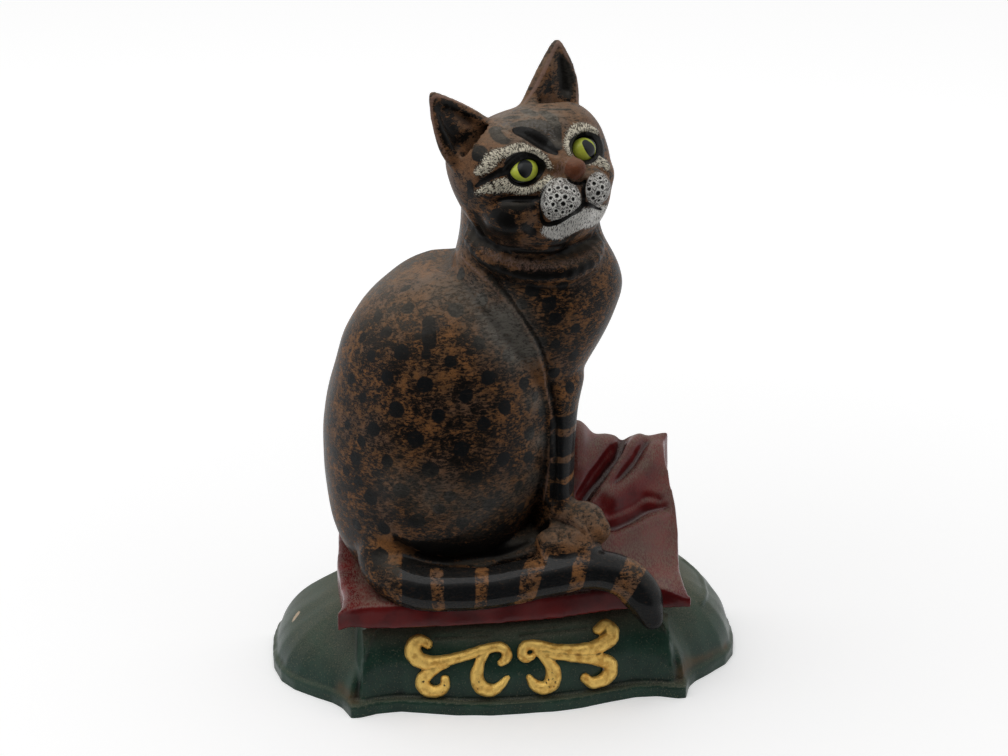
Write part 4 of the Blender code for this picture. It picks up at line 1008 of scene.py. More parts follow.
class Tone:
    """A value that varies over a surface; arithmetic on it adds the nodes that work it out."""

    def __init__(self, nodes, socket):
        self.nodes = nodes
        self.socket = socket

    def math(self, operation, *others, clamp=False):
        return self.nodes.node("ShaderNodeMath", {"operation": operation, "use_clamp": clamp},
                               dict(enumerate((self, *others))))

    def __add__(self, other):
        return self.math("ADD", other)

    def __mul__(self, other):
        return self.math("MULTIPLY", other)

    def __sub__(self, other):
        return self.math("SUBTRACT", other)

    def __rsub__(self, other):
        return self.nodes.node("ShaderNodeMath", {"operation": "SUBTRACT"}, {0: other, 1: self})

    __radd__ = __add__
    __rmul__ = __mul__

    def clamped(self):
        return self.math("ADD", 0.0, clamp=True)

    def rise(self, low, high):
        """0 at the low value, 1 at the high one, smooth between; low may exceed high."""
        stops = {1: low, 2: high} if low <= high else {1: high, 2: low, 3: 1.0, 4: 0.0}
        return self.nodes.node("ShaderNodeMapRange", {"interpolation_type": "SMOOTHSTEP"},
                               {0: self, **stops})


class Nodes:
    """A node tree being filled in."""

    def __init__(self, tree):
        self.tree = tree

    def node(self, kind, settings, inputs, output=0):
        node = self.tree.nodes.new(kind)
        for key, value in settings.items():
            setattr(node, key, value)
        for key, value in inputs.items():
            self.feed(node.inputs[key], value)
        return Tone(self, node.outputs[output])

    def feed(self, socket, value):
        if isinstance(value, Tone):
            self.tree.links.new(value.socket, socket)
        else:
            socket.default_value = value

    def ray(self, kind):
        """1 where the light path is of this kind."""
        return self.node("ShaderNodeLightPath", {}, {}, kind)


class Finish(Nodes):
    """One material being mixed, with short ways to add to its nodes."""

    def __init__(self, name):
        self.material = bpy.data.materials.new(name)
        self.material.use_nodes = True
        super().__init__(self.material.node_tree)
        self.shader = self.tree.nodes["Principled BSDF"]
        self.place = self.node("ShaderNodeTexCoord", {}, {}, "Object")

    def set(self, **values):
        """Put values or tones on the shader's sockets, named with underscores for spaces."""
        for key, value in values.items():
            self.feed(self.shader.inputs[key.replace("_", " ")], value)

    def mark(self, name):
        return self.node("ShaderNodeAttribute", {"attribute_name": name}, {}, "Fac")

    def marks(self, names):
        return [self.mark(name) for name in names.split()]

    def stretched(self, x, y, z):
        return self.node("ShaderNodeVectorMath", {"operation": "MULTIPLY"},
                         {0: self.place, 1: (x, y, z)})

    def noise(self, size, detail=3.0, rough=0.55, place=None, distortion=0.0):
        """Even noise from 0 to 1 whose lumps are about the given size in millimetres."""
        return self.node("ShaderNodeTexNoise", {},
                         {"Vector": place or self.place, "Scale": 1.0 / (size * MM),
                          "Detail": detail, "Roughness": rough, "Distortion": distortion})

    def colour(self, a, b, share):
        """Colour a going over to colour b by the share."""
        return self.node("ShaderNodeMix", {"data_type": "RGBA"}, {0: share, 6: a, 7: b}, 2)

    def upward(self):
        """1 where the surface faces up, -1 where it faces down."""
        normal = self.node("ShaderNodeNewGeometry", {}, {}, "Normal")
        return self.node("ShaderNodeSeparateXYZ", {}, {0: normal}, "Z")

    def bump(self, height, distance):
        """Fine relief, with its height in millimetres for a tone of 1."""
        return self.node("ShaderNodeBump", {}, {"Strength": 1.0, "Distance": distance * MM,
                                                "Height": height}, "Normal")


def iron_finish():
    """Bare rough iron inside the castings, brown-black with a bloom of rust."""
    finish = Finish("bare_iron")
    grit = finish.noise(1.2, 6.0, 0.65)
    patches = finish.noise(14.0, 4.0, 0.6)
    rust = (patches.rise(0.46, 0.64) * 0.6 + grit.rise(0.5, 0.75) * 0.25).clamped()
    colour = finish.colour((0.030, 0.028, 0.027, 1.0), (0.105, 0.048, 0.024, 1.0), rust)
    finish.set(Base_Color=colour, Roughness=0.62 + 0.25 * rust, Metallic=0.25 - 0.2 * rust,
               Normal=finish.bump(grit, 0.35))
    return finish.material


def cat_finish(paints):
    """Brown brushed over black, with spots, bands and cream fur, under a worn varnish."""
    finish = Finish("cat_paint_brushed")
    spots, ink, cream, pad, nose, shade, grey, rose, rim, brushed = finish.marks(
        "spots ink cream pad nose shade grey rose rim brushed")
    orange, dusty, gloss, bloom, chin, cavity = finish.marks(
        "orange dusty gloss bloom chin cavity")
    # A nearly dry brush leaves fine level strokes of brown on the black ground
    strokes = finish.noise(0.80, 4.0, 0.70, finish.stretched(0.42, 0.55, 1.0), 0.6)
    flecks = finish.noise(0.42, 3.0, 0.6)
    medium = finish.noise(2.6, 3.0, 0.6)
    blotch = finish.noise(8.0, 3.0, 0.6)
    wide = finish.noise(17.0, 3.0, 0.6)
    ragged = (flecks - 0.5) * 0.9 + (medium - 0.5) * 1.1
    # Black over the brown along the shade strokes: partly black paint, partly painted shade in
    # hollows and under overhangs
    shaded = (shade + ragged * 1.6).rise(0.9, -0.5)
    cover = ((strokes - 0.5) * 2.9 + (flecks - 0.5) * 1.2 + (medium - 0.5) * 1.1
             + (blotch - 0.5) * 1.5 + (brushed - 0.5) * 1.1 - shaded * 0.75)
    # Painted highlights along the ears' rims and the haunch's ridge, in pale brown and rose
    rim_highlight_on = (rim + ragged * 0.4).rise(0.35, -0.25)
    brown_on = (cover.rise(-0.06, 0.24) + rim_highlight_on * 0.8).clamped()
    warm = (medium.rise(0.42, 0.62) * 0.5 + wide.rise(0.52, 0.40) * 0.5 + orange).clamped()
    brown = finish.colour(paints.brown, paints.orange, warm)
    # Dull dusty brown, which on the haunch's edges also stands for painted sheen
    dusk_and_sheen_on = dusty * (0.70 + 0.9 * (blotch - 0.5)) + wide.rise(0.50, 0.64) * 0.6
    brown = finish.colour(brown, paints.dusk, dusk_and_sheen_on.clamped())
    brown = finish.colour(brown, paints.shade, flecks.rise(0.42, 0.64) * 0.6)
    brown = finish.colour(brown, paints.rose, rim_highlight_on * 0.8)
    ground = finish.colour(paints.black, paints.shade, cover.rise(-0.45, 0.0) * 0.3)
    body = finish.colour(ground, brown, brown_on)
    # Spots and bands have brushed, slightly ragged edges
    spot_on = (spots + ragged * 0.8).rise(0.40, -0.20)
    thin = 1.0 - (strokes.rise(0.54, 0.72) * (0.15 + 0.35 * dusty)).clamped()
    body = finish.colour(body, paints.spot, spot_on * thin)
    # Grey bloom of the varnish, and a painted sheen of light on the haunch's top and edges and on
    # the brow
    bloom_and_sheen_on = (bloom * (0.30 + 0.9 * strokes.rise(0.34, 0.60) + 0.9 * (blotch - 0.5))).clamped()
    body = finish.colour(body, paints.bloom, bloom_and_sheen_on)
    # Short hairs are combed on, and leave the dark paint showing between them
    hair_place = finish.node("ShaderNodeCombineXYZ", {},
                             {0: finish.mark("comb_across") * MM,
                              1: finish.mark("comb_along") * (0.28 * MM), 2: 0.0})
    hairs = finish.noise(0.38, 2.0, 0.6, hair_place) * 0.66 + flecks * 0.34
    upright = finish.noise(0.5, 3.0, 0.6, finish.stretched(1.0, 1.0, 0.3))
    grey_on = (grey + (hairs - 0.5) * 3.0).rise(0.4, -0.4) * hairs.rise(0.52, 0.44)
    body = finish.colour(body, paints.grey, grey_on * 0.8)
    rose_on = (rose + (upright - 0.5) * 4.0).rise(0.5, -0.8) * upright.rise(0.55, 0.42)
    body = finish.colour(body, paints.rose, rose_on * 0.75)
    beneath = (cream + ragged * 1.2).rise(1.1, -0.3)
    body = finish.colour(body, paints.black, beneath * (0.85 - 0.2 * chin))
    cream_edge = (cream + (hairs - 0.5) * 4.4 + (flecks - 0.5) * 2.4).rise(0.45, -0.65)
    cream_on = cream_edge * (0.06 + 0.94 * (hairs - 0.035 * chin).rise(0.57, 0.47))
    # The muzzle pads are dabbed all over in rings and curls round small dark pits
    curls = finish.noise(1.15, 2.0, 0.5, None, 1.2) - 0.5
    curl_on = curls.math("ABSOLUTE").rise(0.075, 0.030)
    ring_on = ink.rise(0.14, 0.28) * ink.rise(0.66, 0.42)
    dab = (curl_on * 0.9 + ring_on + flecks.rise(0.52, 0.60) * 0.4).clamped()
    pad_on = (pad + ragged * 0.5).rise(0.15, -0.3)
    body = finish.colour(body, paints.black, pad_on * 0.9)
    whiter = (pad.rise(0.3, -0.3) + chin).clamped()
    pale = finish.colour(paints.cream, paints.white, whiter)
    body = finish.colour(body, pale, (cream_on + pad_on * dab).clamped())
    nose_on = nose.rise(0.12, -0.12)
    nose_paint = finish.colour(paints.nose, paints.nose_edge, flecks.rise(0.4, 0.7) * 0.7)
    body = finish.colour(body, nose_paint, nose_on)
    ink_on = (ink + (flecks - 0.5) * 0.45).rise(0.16, -0.12)
    body = finish.colour(body, paints.black, ink_on)
    # Painted shade in the hollows, and dust with a painted sheen of light on what faces up
    body = finish.colour(body, paints.black, (cavity.rise(0.06, 0.45) * 0.7).clamped())
    dust_and_sheen = (finish.upward().rise(0.30, 1.0) * (0.26 - 0.22 * gloss)
            * (0.3 + 1.3 * flecks) * (1.0 - 0.9 * ink_on)).clamped()
    body = finish.colour(body, paints.dust_and_sheen, dust_and_sheen)
    relief = strokes * (0.4 + brown_on) + flecks * 0.5 + hairs * (cream_edge + pad_on).clamped()
    finish.set(Base_Color=body, Normal=finish.bump(relief, 0.30),
               Roughness=(0.36 + 0.12 * brown_on + 0.3 * dust_and_sheen - 0.14 * gloss).clamped(),
               Coat_Weight=(0.12 - 0.3 * dust_and_sheen + gloss * 0.20).clamped(),
               Specular_IOR_Level=0.05, Coat_Roughness=0.09)
    return finish.material


def cushion_finish(paints):
    """Deep red gloss paint with painted shade in its creases, dulled on top with dust and painted
    sheen, less so on its front and left side.
    """
    finish = Finish("red_paint_aged")
    cavity, band = finish.marks("cavity band")
    flecks = finish.noise(0.45, 4.0, 0.6)
    fibres = finish.noise(0.5, 3.0, 0.6, finish.stretched(1.0, 0.35, 0.6), 0.8)
    blotch = finish.noise(9.0, 4.0, 0.6)
    red = finish.colour(paints.red, paints.red_deep, blotch.rise(0.35, 0.65))
    # Painted shade in the creases
    red = finish.colour(red, paints.black, (cavity.rise(0.08, 0.55) * 0.7).clamped())
    # Dust and a painted sheen of light on what faces up, less on the front band and the left side
    up = finish.upward().rise(0.25, 0.95)
    dust_and_sheen = up * (0.22 + 0.30 * blotch) * (0.3 + 1.3 * fibres.rise(0.38, 0.62)) - band * 0.55
    dust_and_sheen = (dust_and_sheen - cavity.rise(0.0, 0.5) * 0.3).clamped()
    red = finish.colour(red, paints.dust_and_sheen, dust_and_sheen)
    finish.set(Base_Color=red, Roughness=(0.26 + 0.5 * dust_and_sheen).clamped(),
               Coat_Weight=(0.38 - 1.2 * dust_and_sheen - 0.25 * band).clamped(),
               Normal=finish.bump(flecks, 0.05), Specular_IOR_Level=0.15, Coat_Roughness=0.16)
    return finish.material


def plinth_finish(paints):
    """Dark green paint with painted shade in its hollows, pale dust and painted sheen on its
    ledges, and rust in its corners.
    """
    finish = Finish("green_paint_aged")
    cavity, lip, ledge, chip, rust = finish.marks("cavity lip ledge chip rust")
    flecks = finish.noise(0.5, 4.0, 0.65)
    blotch = finish.noise(11.0, 5.0, 0.6)
    green = finish.colour(paints.green, paints.green_deep, blotch.rise(0.35, 0.62))
    # Painted shade in the hollows
    green = finish.colour(green, paints.black, (cavity.rise(0.04, 0.4) * 0.7).clamped())
    # Dust and a painted sheen of light on what faces up, on the lip and on the ledge
    up = finish.upward().rise(0.30, 1.0)
    dust_and_sheen = up * (0.36 + 0.5 * blotch) * (0.3 + 1.3 * flecks.rise(0.38, 0.62))
    dust_and_sheen = dust_and_sheen * 0.66 + lip * 0.06 * flecks + ledge * (0.10 + 0.5 * flecks)
    dust_and_sheen = (dust_and_sheen + finish.noise(0.6, 1.0, 0.4).rise(0.63, 0.69) * blotch * 0.8).clamped()
    green = finish.colour(green, paints.dust_and_sheen_green, dust_and_sheen)
    rust_on = (rust * (0.1 + 1.1 * blotch) * (0.2 + 1.3 * flecks)).clamped()
    green = finish.colour(green, paints.rust, rust_on)
    chip_on = (chip + (flecks - 0.5) * 2.0).rise(0.2, -0.3)
    green = finish.colour(green, paints.chip, chip_on)
    finish.set(Base_Color=green, Roughness=(0.34 + 0.4 * dust_and_sheen + 0.3 * rust_on).clamped(),
               Coat_Weight=(0.20 - 0.5 * dust_and_sheen).clamped(),
               Normal=finish.bump(flecks + blotch * 1.5, 0.08),
               Specular_IOR_Level=0.12, Coat_Roughness=0.2)
    return finish.material


def gilt_finish(paints):
    """Gold paint with dark brown painted shade in its hollows, and small dark pits."""
    finish = Finish("gilt_worn")
    cavity, pits = finish.marks("cavity pits")
    flecks = finish.noise(0.5, 4.0, 0.65)
    fine = finish.noise(0.22, 2.0, 0.5)
    blotch = finish.noise(3.0, 4.0, 0.6)
    gold = finish.colour(paints.gold, paints.gold_deep,
                         (blotch.rise(0.42, 0.68) * 0.8 + flecks.rise(0.5, 0.7) * 0.2).clamped())
    # Painted shade in the hollows, and the small pits darkened
    dark = (cavity.rise(0.02, 0.20) * 0.7 + (pits + (flecks - 0.5) * 1.6).rise(0.1, -0.3))
    gold = finish.colour(gold, paints.gold_shadow, dark.clamped())
    finish.set(Base_Color=gold, Metallic=(0.62 - 0.5 * dark).clamped(), Specular_IOR_Level=0.25,
               Roughness=(0.28 + 0.15 * flecks + 0.3 * dark).clamped(),
               Normal=finish.bump(fine + flecks * 1.5 + blotch, 0.12))
    return finish.material


def eye_finish(paints):
    """A yellow-green iris round a dark pupil with a painted grey reflection at its top, lined
    with black, under clear varnish.
    """
    finish = Finish("eye_varnished")
    pupil, rim, shine = finish.marks("pupil rim shine")
    mottle = finish.noise(1.0, 3.0, 0.6)
    iris = finish.colour(paints.iris, paints.iris_edge,
                         (rim.rise(0.66, 1.0) * 0.6 + (mottle - 0.5) * 0.7).clamped())
    # Painted reflection: grey in the top of each pupil
    grey = finish.colour(paints.pupil, paints.pupil_reflection, shine)
    eye = finish.colour(iris, grey, pupil.rise(0.10, -0.10))
    eye = finish.colour(eye, paints.black, rim.rise(0.97, 1.03))
    finish.set(Base_Color=eye, Roughness=0.25, Coat_Weight=0.2, Coat_Roughness=0.05,
               Specular_IOR_Level=0.10)
    return finish.material


def steel_finish():
    """Plain steel screws, dulled and lightly rusted."""
    finish = Finish("steel_dulled")
    flecks = finish.noise(0.4, 4.0, 0.6)
    patches = finish.noise(3.0, 4.0, 0.6).rise(0.5, 0.7)
    colour = finish.colour((0.30, 0.29, 0.28, 1.0), (0.16, 0.085, 0.05, 1.0), patches * 0.6)
    finish.set(Base_Color=colour, Metallic=1.0 - 0.6 * patches,
               Roughness=(0.38 + 0.2 * flecks + 0.2 * patches).clamped(),
               Normal=finish.bump(flecks, 0.03))
    return finish.material


# --------------------------------------------------------------------------- the castings


def plinth_mass(grain, rounds):
    """The plinth's outside as one solid skin."""
    bead = finer([(x, y, FOOT_HEIGHT - 1.0, 0.9) for x, y in outline(FOOT_HALF, 0.9)], 2)
    pieces = [
        loft("foot", stack_rings(FOOT_HALF, [(-3.0, 0.0), (FOOT_HEIGHT - 1.2, 0.0),
                                             (FOOT_HEIGHT - 0.6, 0.9)])),
        loft("block", stack_rings(BLOCK_HALF, finer(BLOCK_PROFILE, 2))),
        loft("lobe", lobe_rings(1)), loft("lobe", lobe_rings(-1)),
        loft("lip", tube_rings(bead, 10)),
    ]
    return melt(join(pieces, "plinth_mass"), grain, rounds)


def along_curve(path, share):
    """A point part of the way along a row of points."""
    place = share * (len(path) - 1)
    i = min(int(place), len(path) - 2)
    return Vector(path[i]).lerp(Vector(path[i + 1]), place - i)


CUSHION_EDGE = finer(CUSHION_FRONT, 6)
CUSHION_SIDES = finer(CUSHION_LEFT, 6), finer(CUSHION_RIGHT, 6)


def cushion_place(u, v):
    """A point of the cushion's plan, between its front edge and its drawn in sides."""
    front = along_curve(CUSHION_EDGE, u)
    y = front.y + (44.0 - front.y) * v
    (left,), (right,) = (along(side, y) for side in CUSHION_SIDES)
    x = left + (right - left) * (front.x + 68.4) / 134.4
    share = min(v / 0.06, 1.0)
    return front.x + (x - front.x) * share, y


def inside_place(u, v):
    """A point of the plan of the hollow inside the cushion."""
    (left, front), (right, rear) = CUSHION_INSIDE
    return left + (right - left) * u, front + (rear - front) * v


def fold_height(x, y, path, width, height):
    """How much one fold lifts the cushion's top, or a crease lowers it."""
    nearest = 0.0
    for a, b in zip(path[:-1], path[1:]):
        run = Vector((b[0] - a[0], b[1] - a[1]))
        t = min(max((Vector((x - a[0], y - a[1])) @ run) / run.length_squared, 0.0), 1.0)
        gap = math.hypot(x - a[0] - run.x * t, y - a[1] - run.y * t)
        strength = a[2] + (b[2] - a[2]) * t
        nearest = max(nearest, strength * math.exp(-(gap / width) ** 2))
    return height * nearest


def cushion_rise(x, y):
    """Height of the plain top: level in front, drawn up to its back right corner."""
    back, right = ease(y, -16.0, 38.0), ease(x, -10.0, 30.0)
    hump = 7.0 * math.exp(-((x - 30.0) / 12.0) ** 2)
    top = CUSHION_FRONT_TOP + back * (8.0 + 26.4 * right + hump)
    top -= CUSHION_DROOP * ease(x, 48.0, 66.0) * ease(-y, 14.0, 30.0)
    return top + 1.2 * ease(x, 58.0, 67.0) * ease(y, 30.0, 38.0)


def cushion_top(x, y):
    return cushion_rise(x, y) + sum(fold_height(x, y, *fold) for fold in CUSHION_FOLDS)


def cushion_ceiling(x, y):
    return min(cushion_rise(x, y), cushion_top(x, y)) - WALL


def cushion_low(x, y):
    """Height of the cushion's underside, whose front corners stand off the plinth a little."""
    return CUSHION_LOW + 2.2 * ease(abs(x), 54.0, 66.0) * ease(-y, 14.0, 28.0)


def draped(name, place, height, low, across, deep):
    """A grid laid on a curved top, point by point, and drawn down to its underside."""
    item = added(name, bpy.ops.mesh.primitive_grid_add, x_subdivisions=across,
                 y_subdivisions=deep, size=2.0)
    plan = [place((v.co.x + 1) / 2, (v.co.y + 1) / 2) for v in item.data.vertices]
    for vertex, (x, y) in zip(item.data.vertices, plan):
        vertex.co = Vector((x, y, height(x, y))) * MM
    edited(item, (bpy.ops.mesh.extrude_region_move, {}))
    for vertex in item.data.vertices:
        if vertex.select:
            vertex.co.z = low(vertex.co.x / MM, vertex.co.y / MM) * MM
    return outwards(item)


def cushion_mass(grain, rounds):
    """The cushion's outside as one solid skin."""
    item = draped("cushion_mass", cushion_place, cushion_top, cushion_low, 120, 66)
    return melt(item, grain, rounds)


def nape(name, start, inset, sides):
    """An oval bar from a depth in the neck to behind the back plane."""
    x, z = NAPE_CENTRE
    item = rod(name, (x, start, z), (x, BACK + 6.0, z), 1.0, sides)
    item.data.transform(Matrix.Scale(MM, 4) @ Matrix.Translation((x, 0, z))
                        @ Matrix.Diagonal((NAPE_RADII[0] - inset, 1.0,
                                           NAPE_RADII[1] - inset)).to_4x4()
                        @ Matrix.Translation((-x, 0, -z)) @ Matrix.Scale(1 / MM, 4))
    return item


def cat_mass(grain, rounds):
    """The cat's outside as one solid skin, its ears hollowed."""
    pieces = [
        loft("haunch", body_rings(finer(HAUNCH, 4) + [HAUNCH_CROWN])),
        loft("chest", body_rings(finer(CHEST, 3))),
        loft("leg", body_rings(finer(LEG, 3), LEG_BACK, 4.0)),
        loft("skull", skull_rings()), loft("ear", ear_rings(1)), loft("ear", ear_rings(-1)),
        *tube("tail", finer(TAIL, 5)), *tube("ruff", finer(RUFF, 4)),
        nape("nape", NAPE_FRONT, 0.0, 64),
        *(ball("mass", *shape) for shape in PAWS + WEB),
        *(ball("face", *shape, HEAD) for shape in FACE + PADS + [NOSE]),
    ]
    item = melt(join(pieces, "cat_mass"), grain * 1.3, 2)
    centre, radii = LID_DISH
    for side in (-1, 1):
        cut(item, loft("ear_hollow", ear_rings(side, EAR_HOLLOW_SHARE, EAR_HOLLOW_SHIFT)))
        cut(item, ball("dish", (side * centre[0], *centre[1:]), radii, HEAD, 48))
    return melt(item, grain, rounds)


def trim_back(item):
    low, high = (-BEYOND, BACK, -BEYOND), (BEYOND, BACK + BEYOND, 3 * BEYOND)
    return cut(item, bare(block("back_trim", low, high)))


def cat_core():
    """The hollow inside the cat, open at its back."""
    pieces = []
    for table, heights in ((HAUNCH, HAUNCH_HOLLOW), (CHEST, CHEST_HOLLOW)):
        rows = [(height, *along(table, height)) for height in heights]
        pieces.append(loft("core", body_rings(rows, BACK_RADIUS, WIDEST, WALL, 40)))
    pieces += [ball("core", *HEAD_HOLLOW, HEAD), nape("core", NAPE_FRONT + WALL, WALL, 40)]
    return melt(join(pieces, "core"), CORE_GRAIN, 3)


def work_face(clay, surface):
    """Lids, brow, cheeks, muzzle and mouth, worked into the head."""
    local = to_head(clay.points)
    for place, radii in EYES.values():
        across, up = eye_place(local, place, radii, 0.3)
        ring = np.sqrt(across ** 2 + up ** 2)
        lid = np.exp(-((ring - 1.42) / 0.16) ** 2) * (0.25 + 0.45 * np.clip(up, 0.0, 1.0))
        clay.push(np.where(local[:, 1] < 9.0, lid, 0.0))
    for path, width, depth in FACE_LINES:
        clay.groove(surface.shown(path), width, depth)


def eye_place(local, place, radii, more=0.0):
    """Where points lie across an eye and up it, as shares of its radii."""
    return ((local[:, 0] - place[0]) / (radii[0] + more),
            (local[:, 2] - place[2]) / (radii[2] + more))


def to_head(points):
    """Points of the object in the head's own frame."""
    back = np.array(HEAD.inverted())
    return points @ back[:3, :3].T + back[:3, 3]


def work_body(clay, surface):
    """The haunch's ridge, the folds by the leg, the toes and the fur of the ruff."""
    for path, width, depth in BODY_LINES:
        clay.groove(surface.snap(finer(path, 5)), width, depth)
    for path in TOE_LINES:
        clay.groove(surface.shown(path), 0.8, 0.9)
    ruff = np.maximum(stroke_gap(clay.points, finer(RUFF, 4)), 0.0)
    sweep = np.arctan2(clay.points[:, 0] - 11.0, -(clay.points[:, 1] - 14.0))
    strands = np.sin(sweep * 46.0 + np.sin(clay.points[:, 2] * 0.8) * 0.8)
    clay.push(strands * 0.12 * np.exp(-(ruff / 2.5) ** 2))


class CatSkin:
    """The cat's skin while its paints are laid on: where its points lie and are seen."""

    def __init__(self, item):
        self.surface = Surface(item)
        self.clay = Clay(item)
        self.points = self.clay.points
        self.local = to_head(self.points)
        self.seen = to_photo(self.points)
        self.on_head = (self.points[:, 2] > 172.0) & (self.local[:, 2] > -34.0)
        self.face = self.on_head & (self.local[:, 1] < 12.0)
        self.in_front = self.points[:, 1] < 14.0
        tail = stroke_gap(self.points, finer(TAIL[1:], 4)) - 1.2
        self.tail = np.maximum(tail, (TAIL_ROOT - self.seen[:, 0]) * PIXEL)
        x, y, z = self.points.T
        self.leg = np.maximum.reduce([13.5 - x, z - 110.5, 78.0 - z, y - 2.0])

    def shown(self, paths):
        """Distance to the nearest of several lines given in the photograph's pixels."""
        return nearest_line(self.points, [self.surface.shown(path) for path in paths])

    def only(self, where, values):
        """Values where they count, and far away elsewhere."""
        return np.where(where, values, FAR)

    def lay_spots(self):
        """Dots, the tail's and the leg's black between their brown bands."""
        dots = [[(*self.surface.front(x, z), radius)] for x, z, radius in BODY_DOTS]
        dots.append(self.surface.snap(DAB))
        tail_bands = nearest_line(self.points, TAIL_BANDS)
        leg_bands = nearest_line(self.points, [self.surface.snap(path) for path in LEG_BANDS])
        self.clay.mark("spots", np.minimum.reduce([
            nearest_line(self.points, dots), self.shown([DAB_SEEN, *HEAD_SPOTS]),
            np.maximum(self.tail, -tail_bands), np.maximum(self.leg, -leg_bands)]))

    def lay_face(self):
        """Black lines, cream fur, muzzle pads and nose."""
        ink = self.shown(INK)
        for (middle, half), (place, radii) in zip(EYE_BLACK, EYES.values()):
            ring = (np.hypot(*eye_place(self.local, place, radii)) - 1.0) * 5.1 - 0.6
            ink = np.minimum(ink, self.only(self.face & (self.local[:, 1] < 7.0), ring))
            near = np.linalg.norm(self.local - np.array(place), axis=1) < 11.0
            away = (np.hypot(*((self.seen - middle) / half).T) - 1.0) * half[0] * PIXEL
            ink = np.minimum(ink, self.only(self.face & near, away))
        pad = np.full(len(self.points), FAR)
        for (middle, half), place in zip(PAD_PATCHES, PADS):
            away = np.hypot(*((self.seen - middle) / half).T)
            near = self.face & (self.ball_place(place) < 1.35)
            pad = np.minimum(pad, self.only(near, (away - 1.0) * 6.5))
        nose = self.only(self.on_head, (self.ball_place(NOSE) - 1.06) * 3.2)
        self.clay.mark("ink", self.only(nose >= 0.15, ink))
        self.clay.mark("cream", self.only(nose >= 0.3, self.shown(CREAM)))
        self.clay.mark("pad", self.only(nose >= 0.3, pad))
        self.clay.mark("nose", nose)
        self.clay.mark("chin", np.where(self.seen[:, 1] > CHIN_ROW, 1.0, 0.0))
        return ink

    def ball_place(self, shape):
        """How far out points lie from a ball of the head, 1 on its skin."""
        centre, radii = np.array(shape)
        return np.linalg.norm((self.local - centre) / radii, axis=1)

    def lay_strokes(self):
        """Strokes of black that are partly painted shade, grey and rose, and painted highlights
        on the edges of ears and haunch.
        """
        for name, paths, edge, half in (("shade", SHADES, GROOVE, 0.25), ("grey", GREYS, None, 0),
                                        ("rose", ROSES, None, 0), ("rim", EAR_RIM_HIGHLIGHTS, RIDGE, 0.4)):
            gap = self.shown(paths)
            if edge:
                line = [(x, y, z, half) for x, y, z, _ in self.surface.snap(finer(edge, 5))]
                gap = np.minimum(gap, stroke_gap(self.points, line))
            self.clay.mark(name, gap)
        for name, values in zip(("comb_across", "comb_along"), comb(self.seen)):
            self.clay.mark(name, values)

    def lay_brushing(self):
        """How much brown is brushed on, how warm it is, and how dusty it is, partly as painted
        sheen.
        """
        warm = self.in_front * patch_sum(self.seen, [(*zone, 1.0) for zone in WARM])
        brushed = np.where(self.on_head, blend_zones(self.seen, HEAD_TONES, 0.70, 0.25),
                           blend_zones(self.points, BRUSHED, 0.50, 0.35)) + 0.30 * warm
        on_tail = (self.tail < 1.0) & (self.seen[:, 0] > TAIL_ROOT)
        brushed = np.where(on_tail, np.maximum(brushed, 0.70), brushed)
        brushed = np.where(self.leg < 0.5, 0.84, brushed)
        self.clay.mark("brushed", brushed)
        orange = 0.55 * warm + patch_sum(self.points, ORANGE)
        self.clay.mark("orange", np.where(self.tail < 1.0, 0.45, orange))
        # Dusty on the head and the paws; the zones also grey the haunch's edges as painted sheen
        dusty = 0.55 * np.clip((brushed - 0.45) / 0.4, 0.0, 1.0) * self.on_head
        self.clay.mark("dusty", np.clip(dusty + patch_sum(self.points, DUSTY_AND_SHEEN), 0.0, 1.0))

    def lay_varnish(self, ink):
        """Grey bloom with painted sheen, gloss, and the depth of the hollows for the painted
        shade.
        """
        # Grey bloom and painted sheen in front, and a little of it all round behind
        self.clay.mark("bloom", np.where(self.in_front, patch_sum(self.seen, BLOOM_AND_SHEEN), 0.15))
        gloss = np.where(self.tail < 1.2, 1.0 - 0.7 * (self.seen[:, 0] > TAIL_DULL), 0.0)
        lines = np.exp(-(np.maximum(ink, 0.0) / 0.8) ** 2) * 0.2
        self.clay.mark("gloss", np.maximum(gloss, lines))
        self.clay.mark("cavity", self.clay.cavity(8))


def comb(seen):
    """Which way the cream hairs lie: out from the nearer eye, and level on the chin."""
    best = np.full(len(seen), 1e3)
    turn, out = np.zeros(len(seen)), np.zeros(len(seen))
    for middle in EYE_MIDDLES:
        x, y = (seen - middle).T * PIXEL
        away = np.hypot(x, y)
        nearer = away < best
        best = np.where(nearer, away, best)
        turn = np.where(nearer, np.arctan2(y, x) * 7.0, turn)
        out = np.where(nearer, away, out)
    low = seen[:, 1] > CHIN_ROW
    return (np.where(low, (seen[:, 0] + 0.35 * seen[:, 1]) * PIXEL, turn),
            np.where(low, seen[:, 1] * PIXEL, out))


# ------------------------------------------------------------------------------ operators


def length_property(name, description, default, low, high):
    return bpy.props.FloatProperty(name=name, description=description + ", in millimetres",
                                   default=default, min=low, max=high)


def paint_property(name, description, colour):
    return bpy.props.FloatVectorProperty(name=name, description=description, subtype="COLOR",
                                         size=4, min=0.0, max=1.0, default=(*colour, 1.0))


class DoorstopSizes(bpy.types.PropertyGroup):
    """How finely the castings are drawn."""

    grain: length_property("Grain", "Grid that the cat's skin is drawn on", 0.985, 0.5, 3.0)
    plinth_grain: length_property("Plinth grain", "Grid of the plinth's skin", 0.9, 0.5, 3.0)
    cushion_grain: length_property("Cushion grain", "Grid of the cushion's skin", 0.8, 0.5, 3.0)
    scroll_grain: length_property("Scroll grain", "Grid of the scrolls' skin", 0.42, 0.3, 2.0)
    gap: length_property("Gap", "Clearance between neighbouring castings", 0.3, 0.0, 1.0)
    unevenness: length_property("Unevenness", "Height of the castings' soft hills",
                                0.35, 0.0, 2.0)


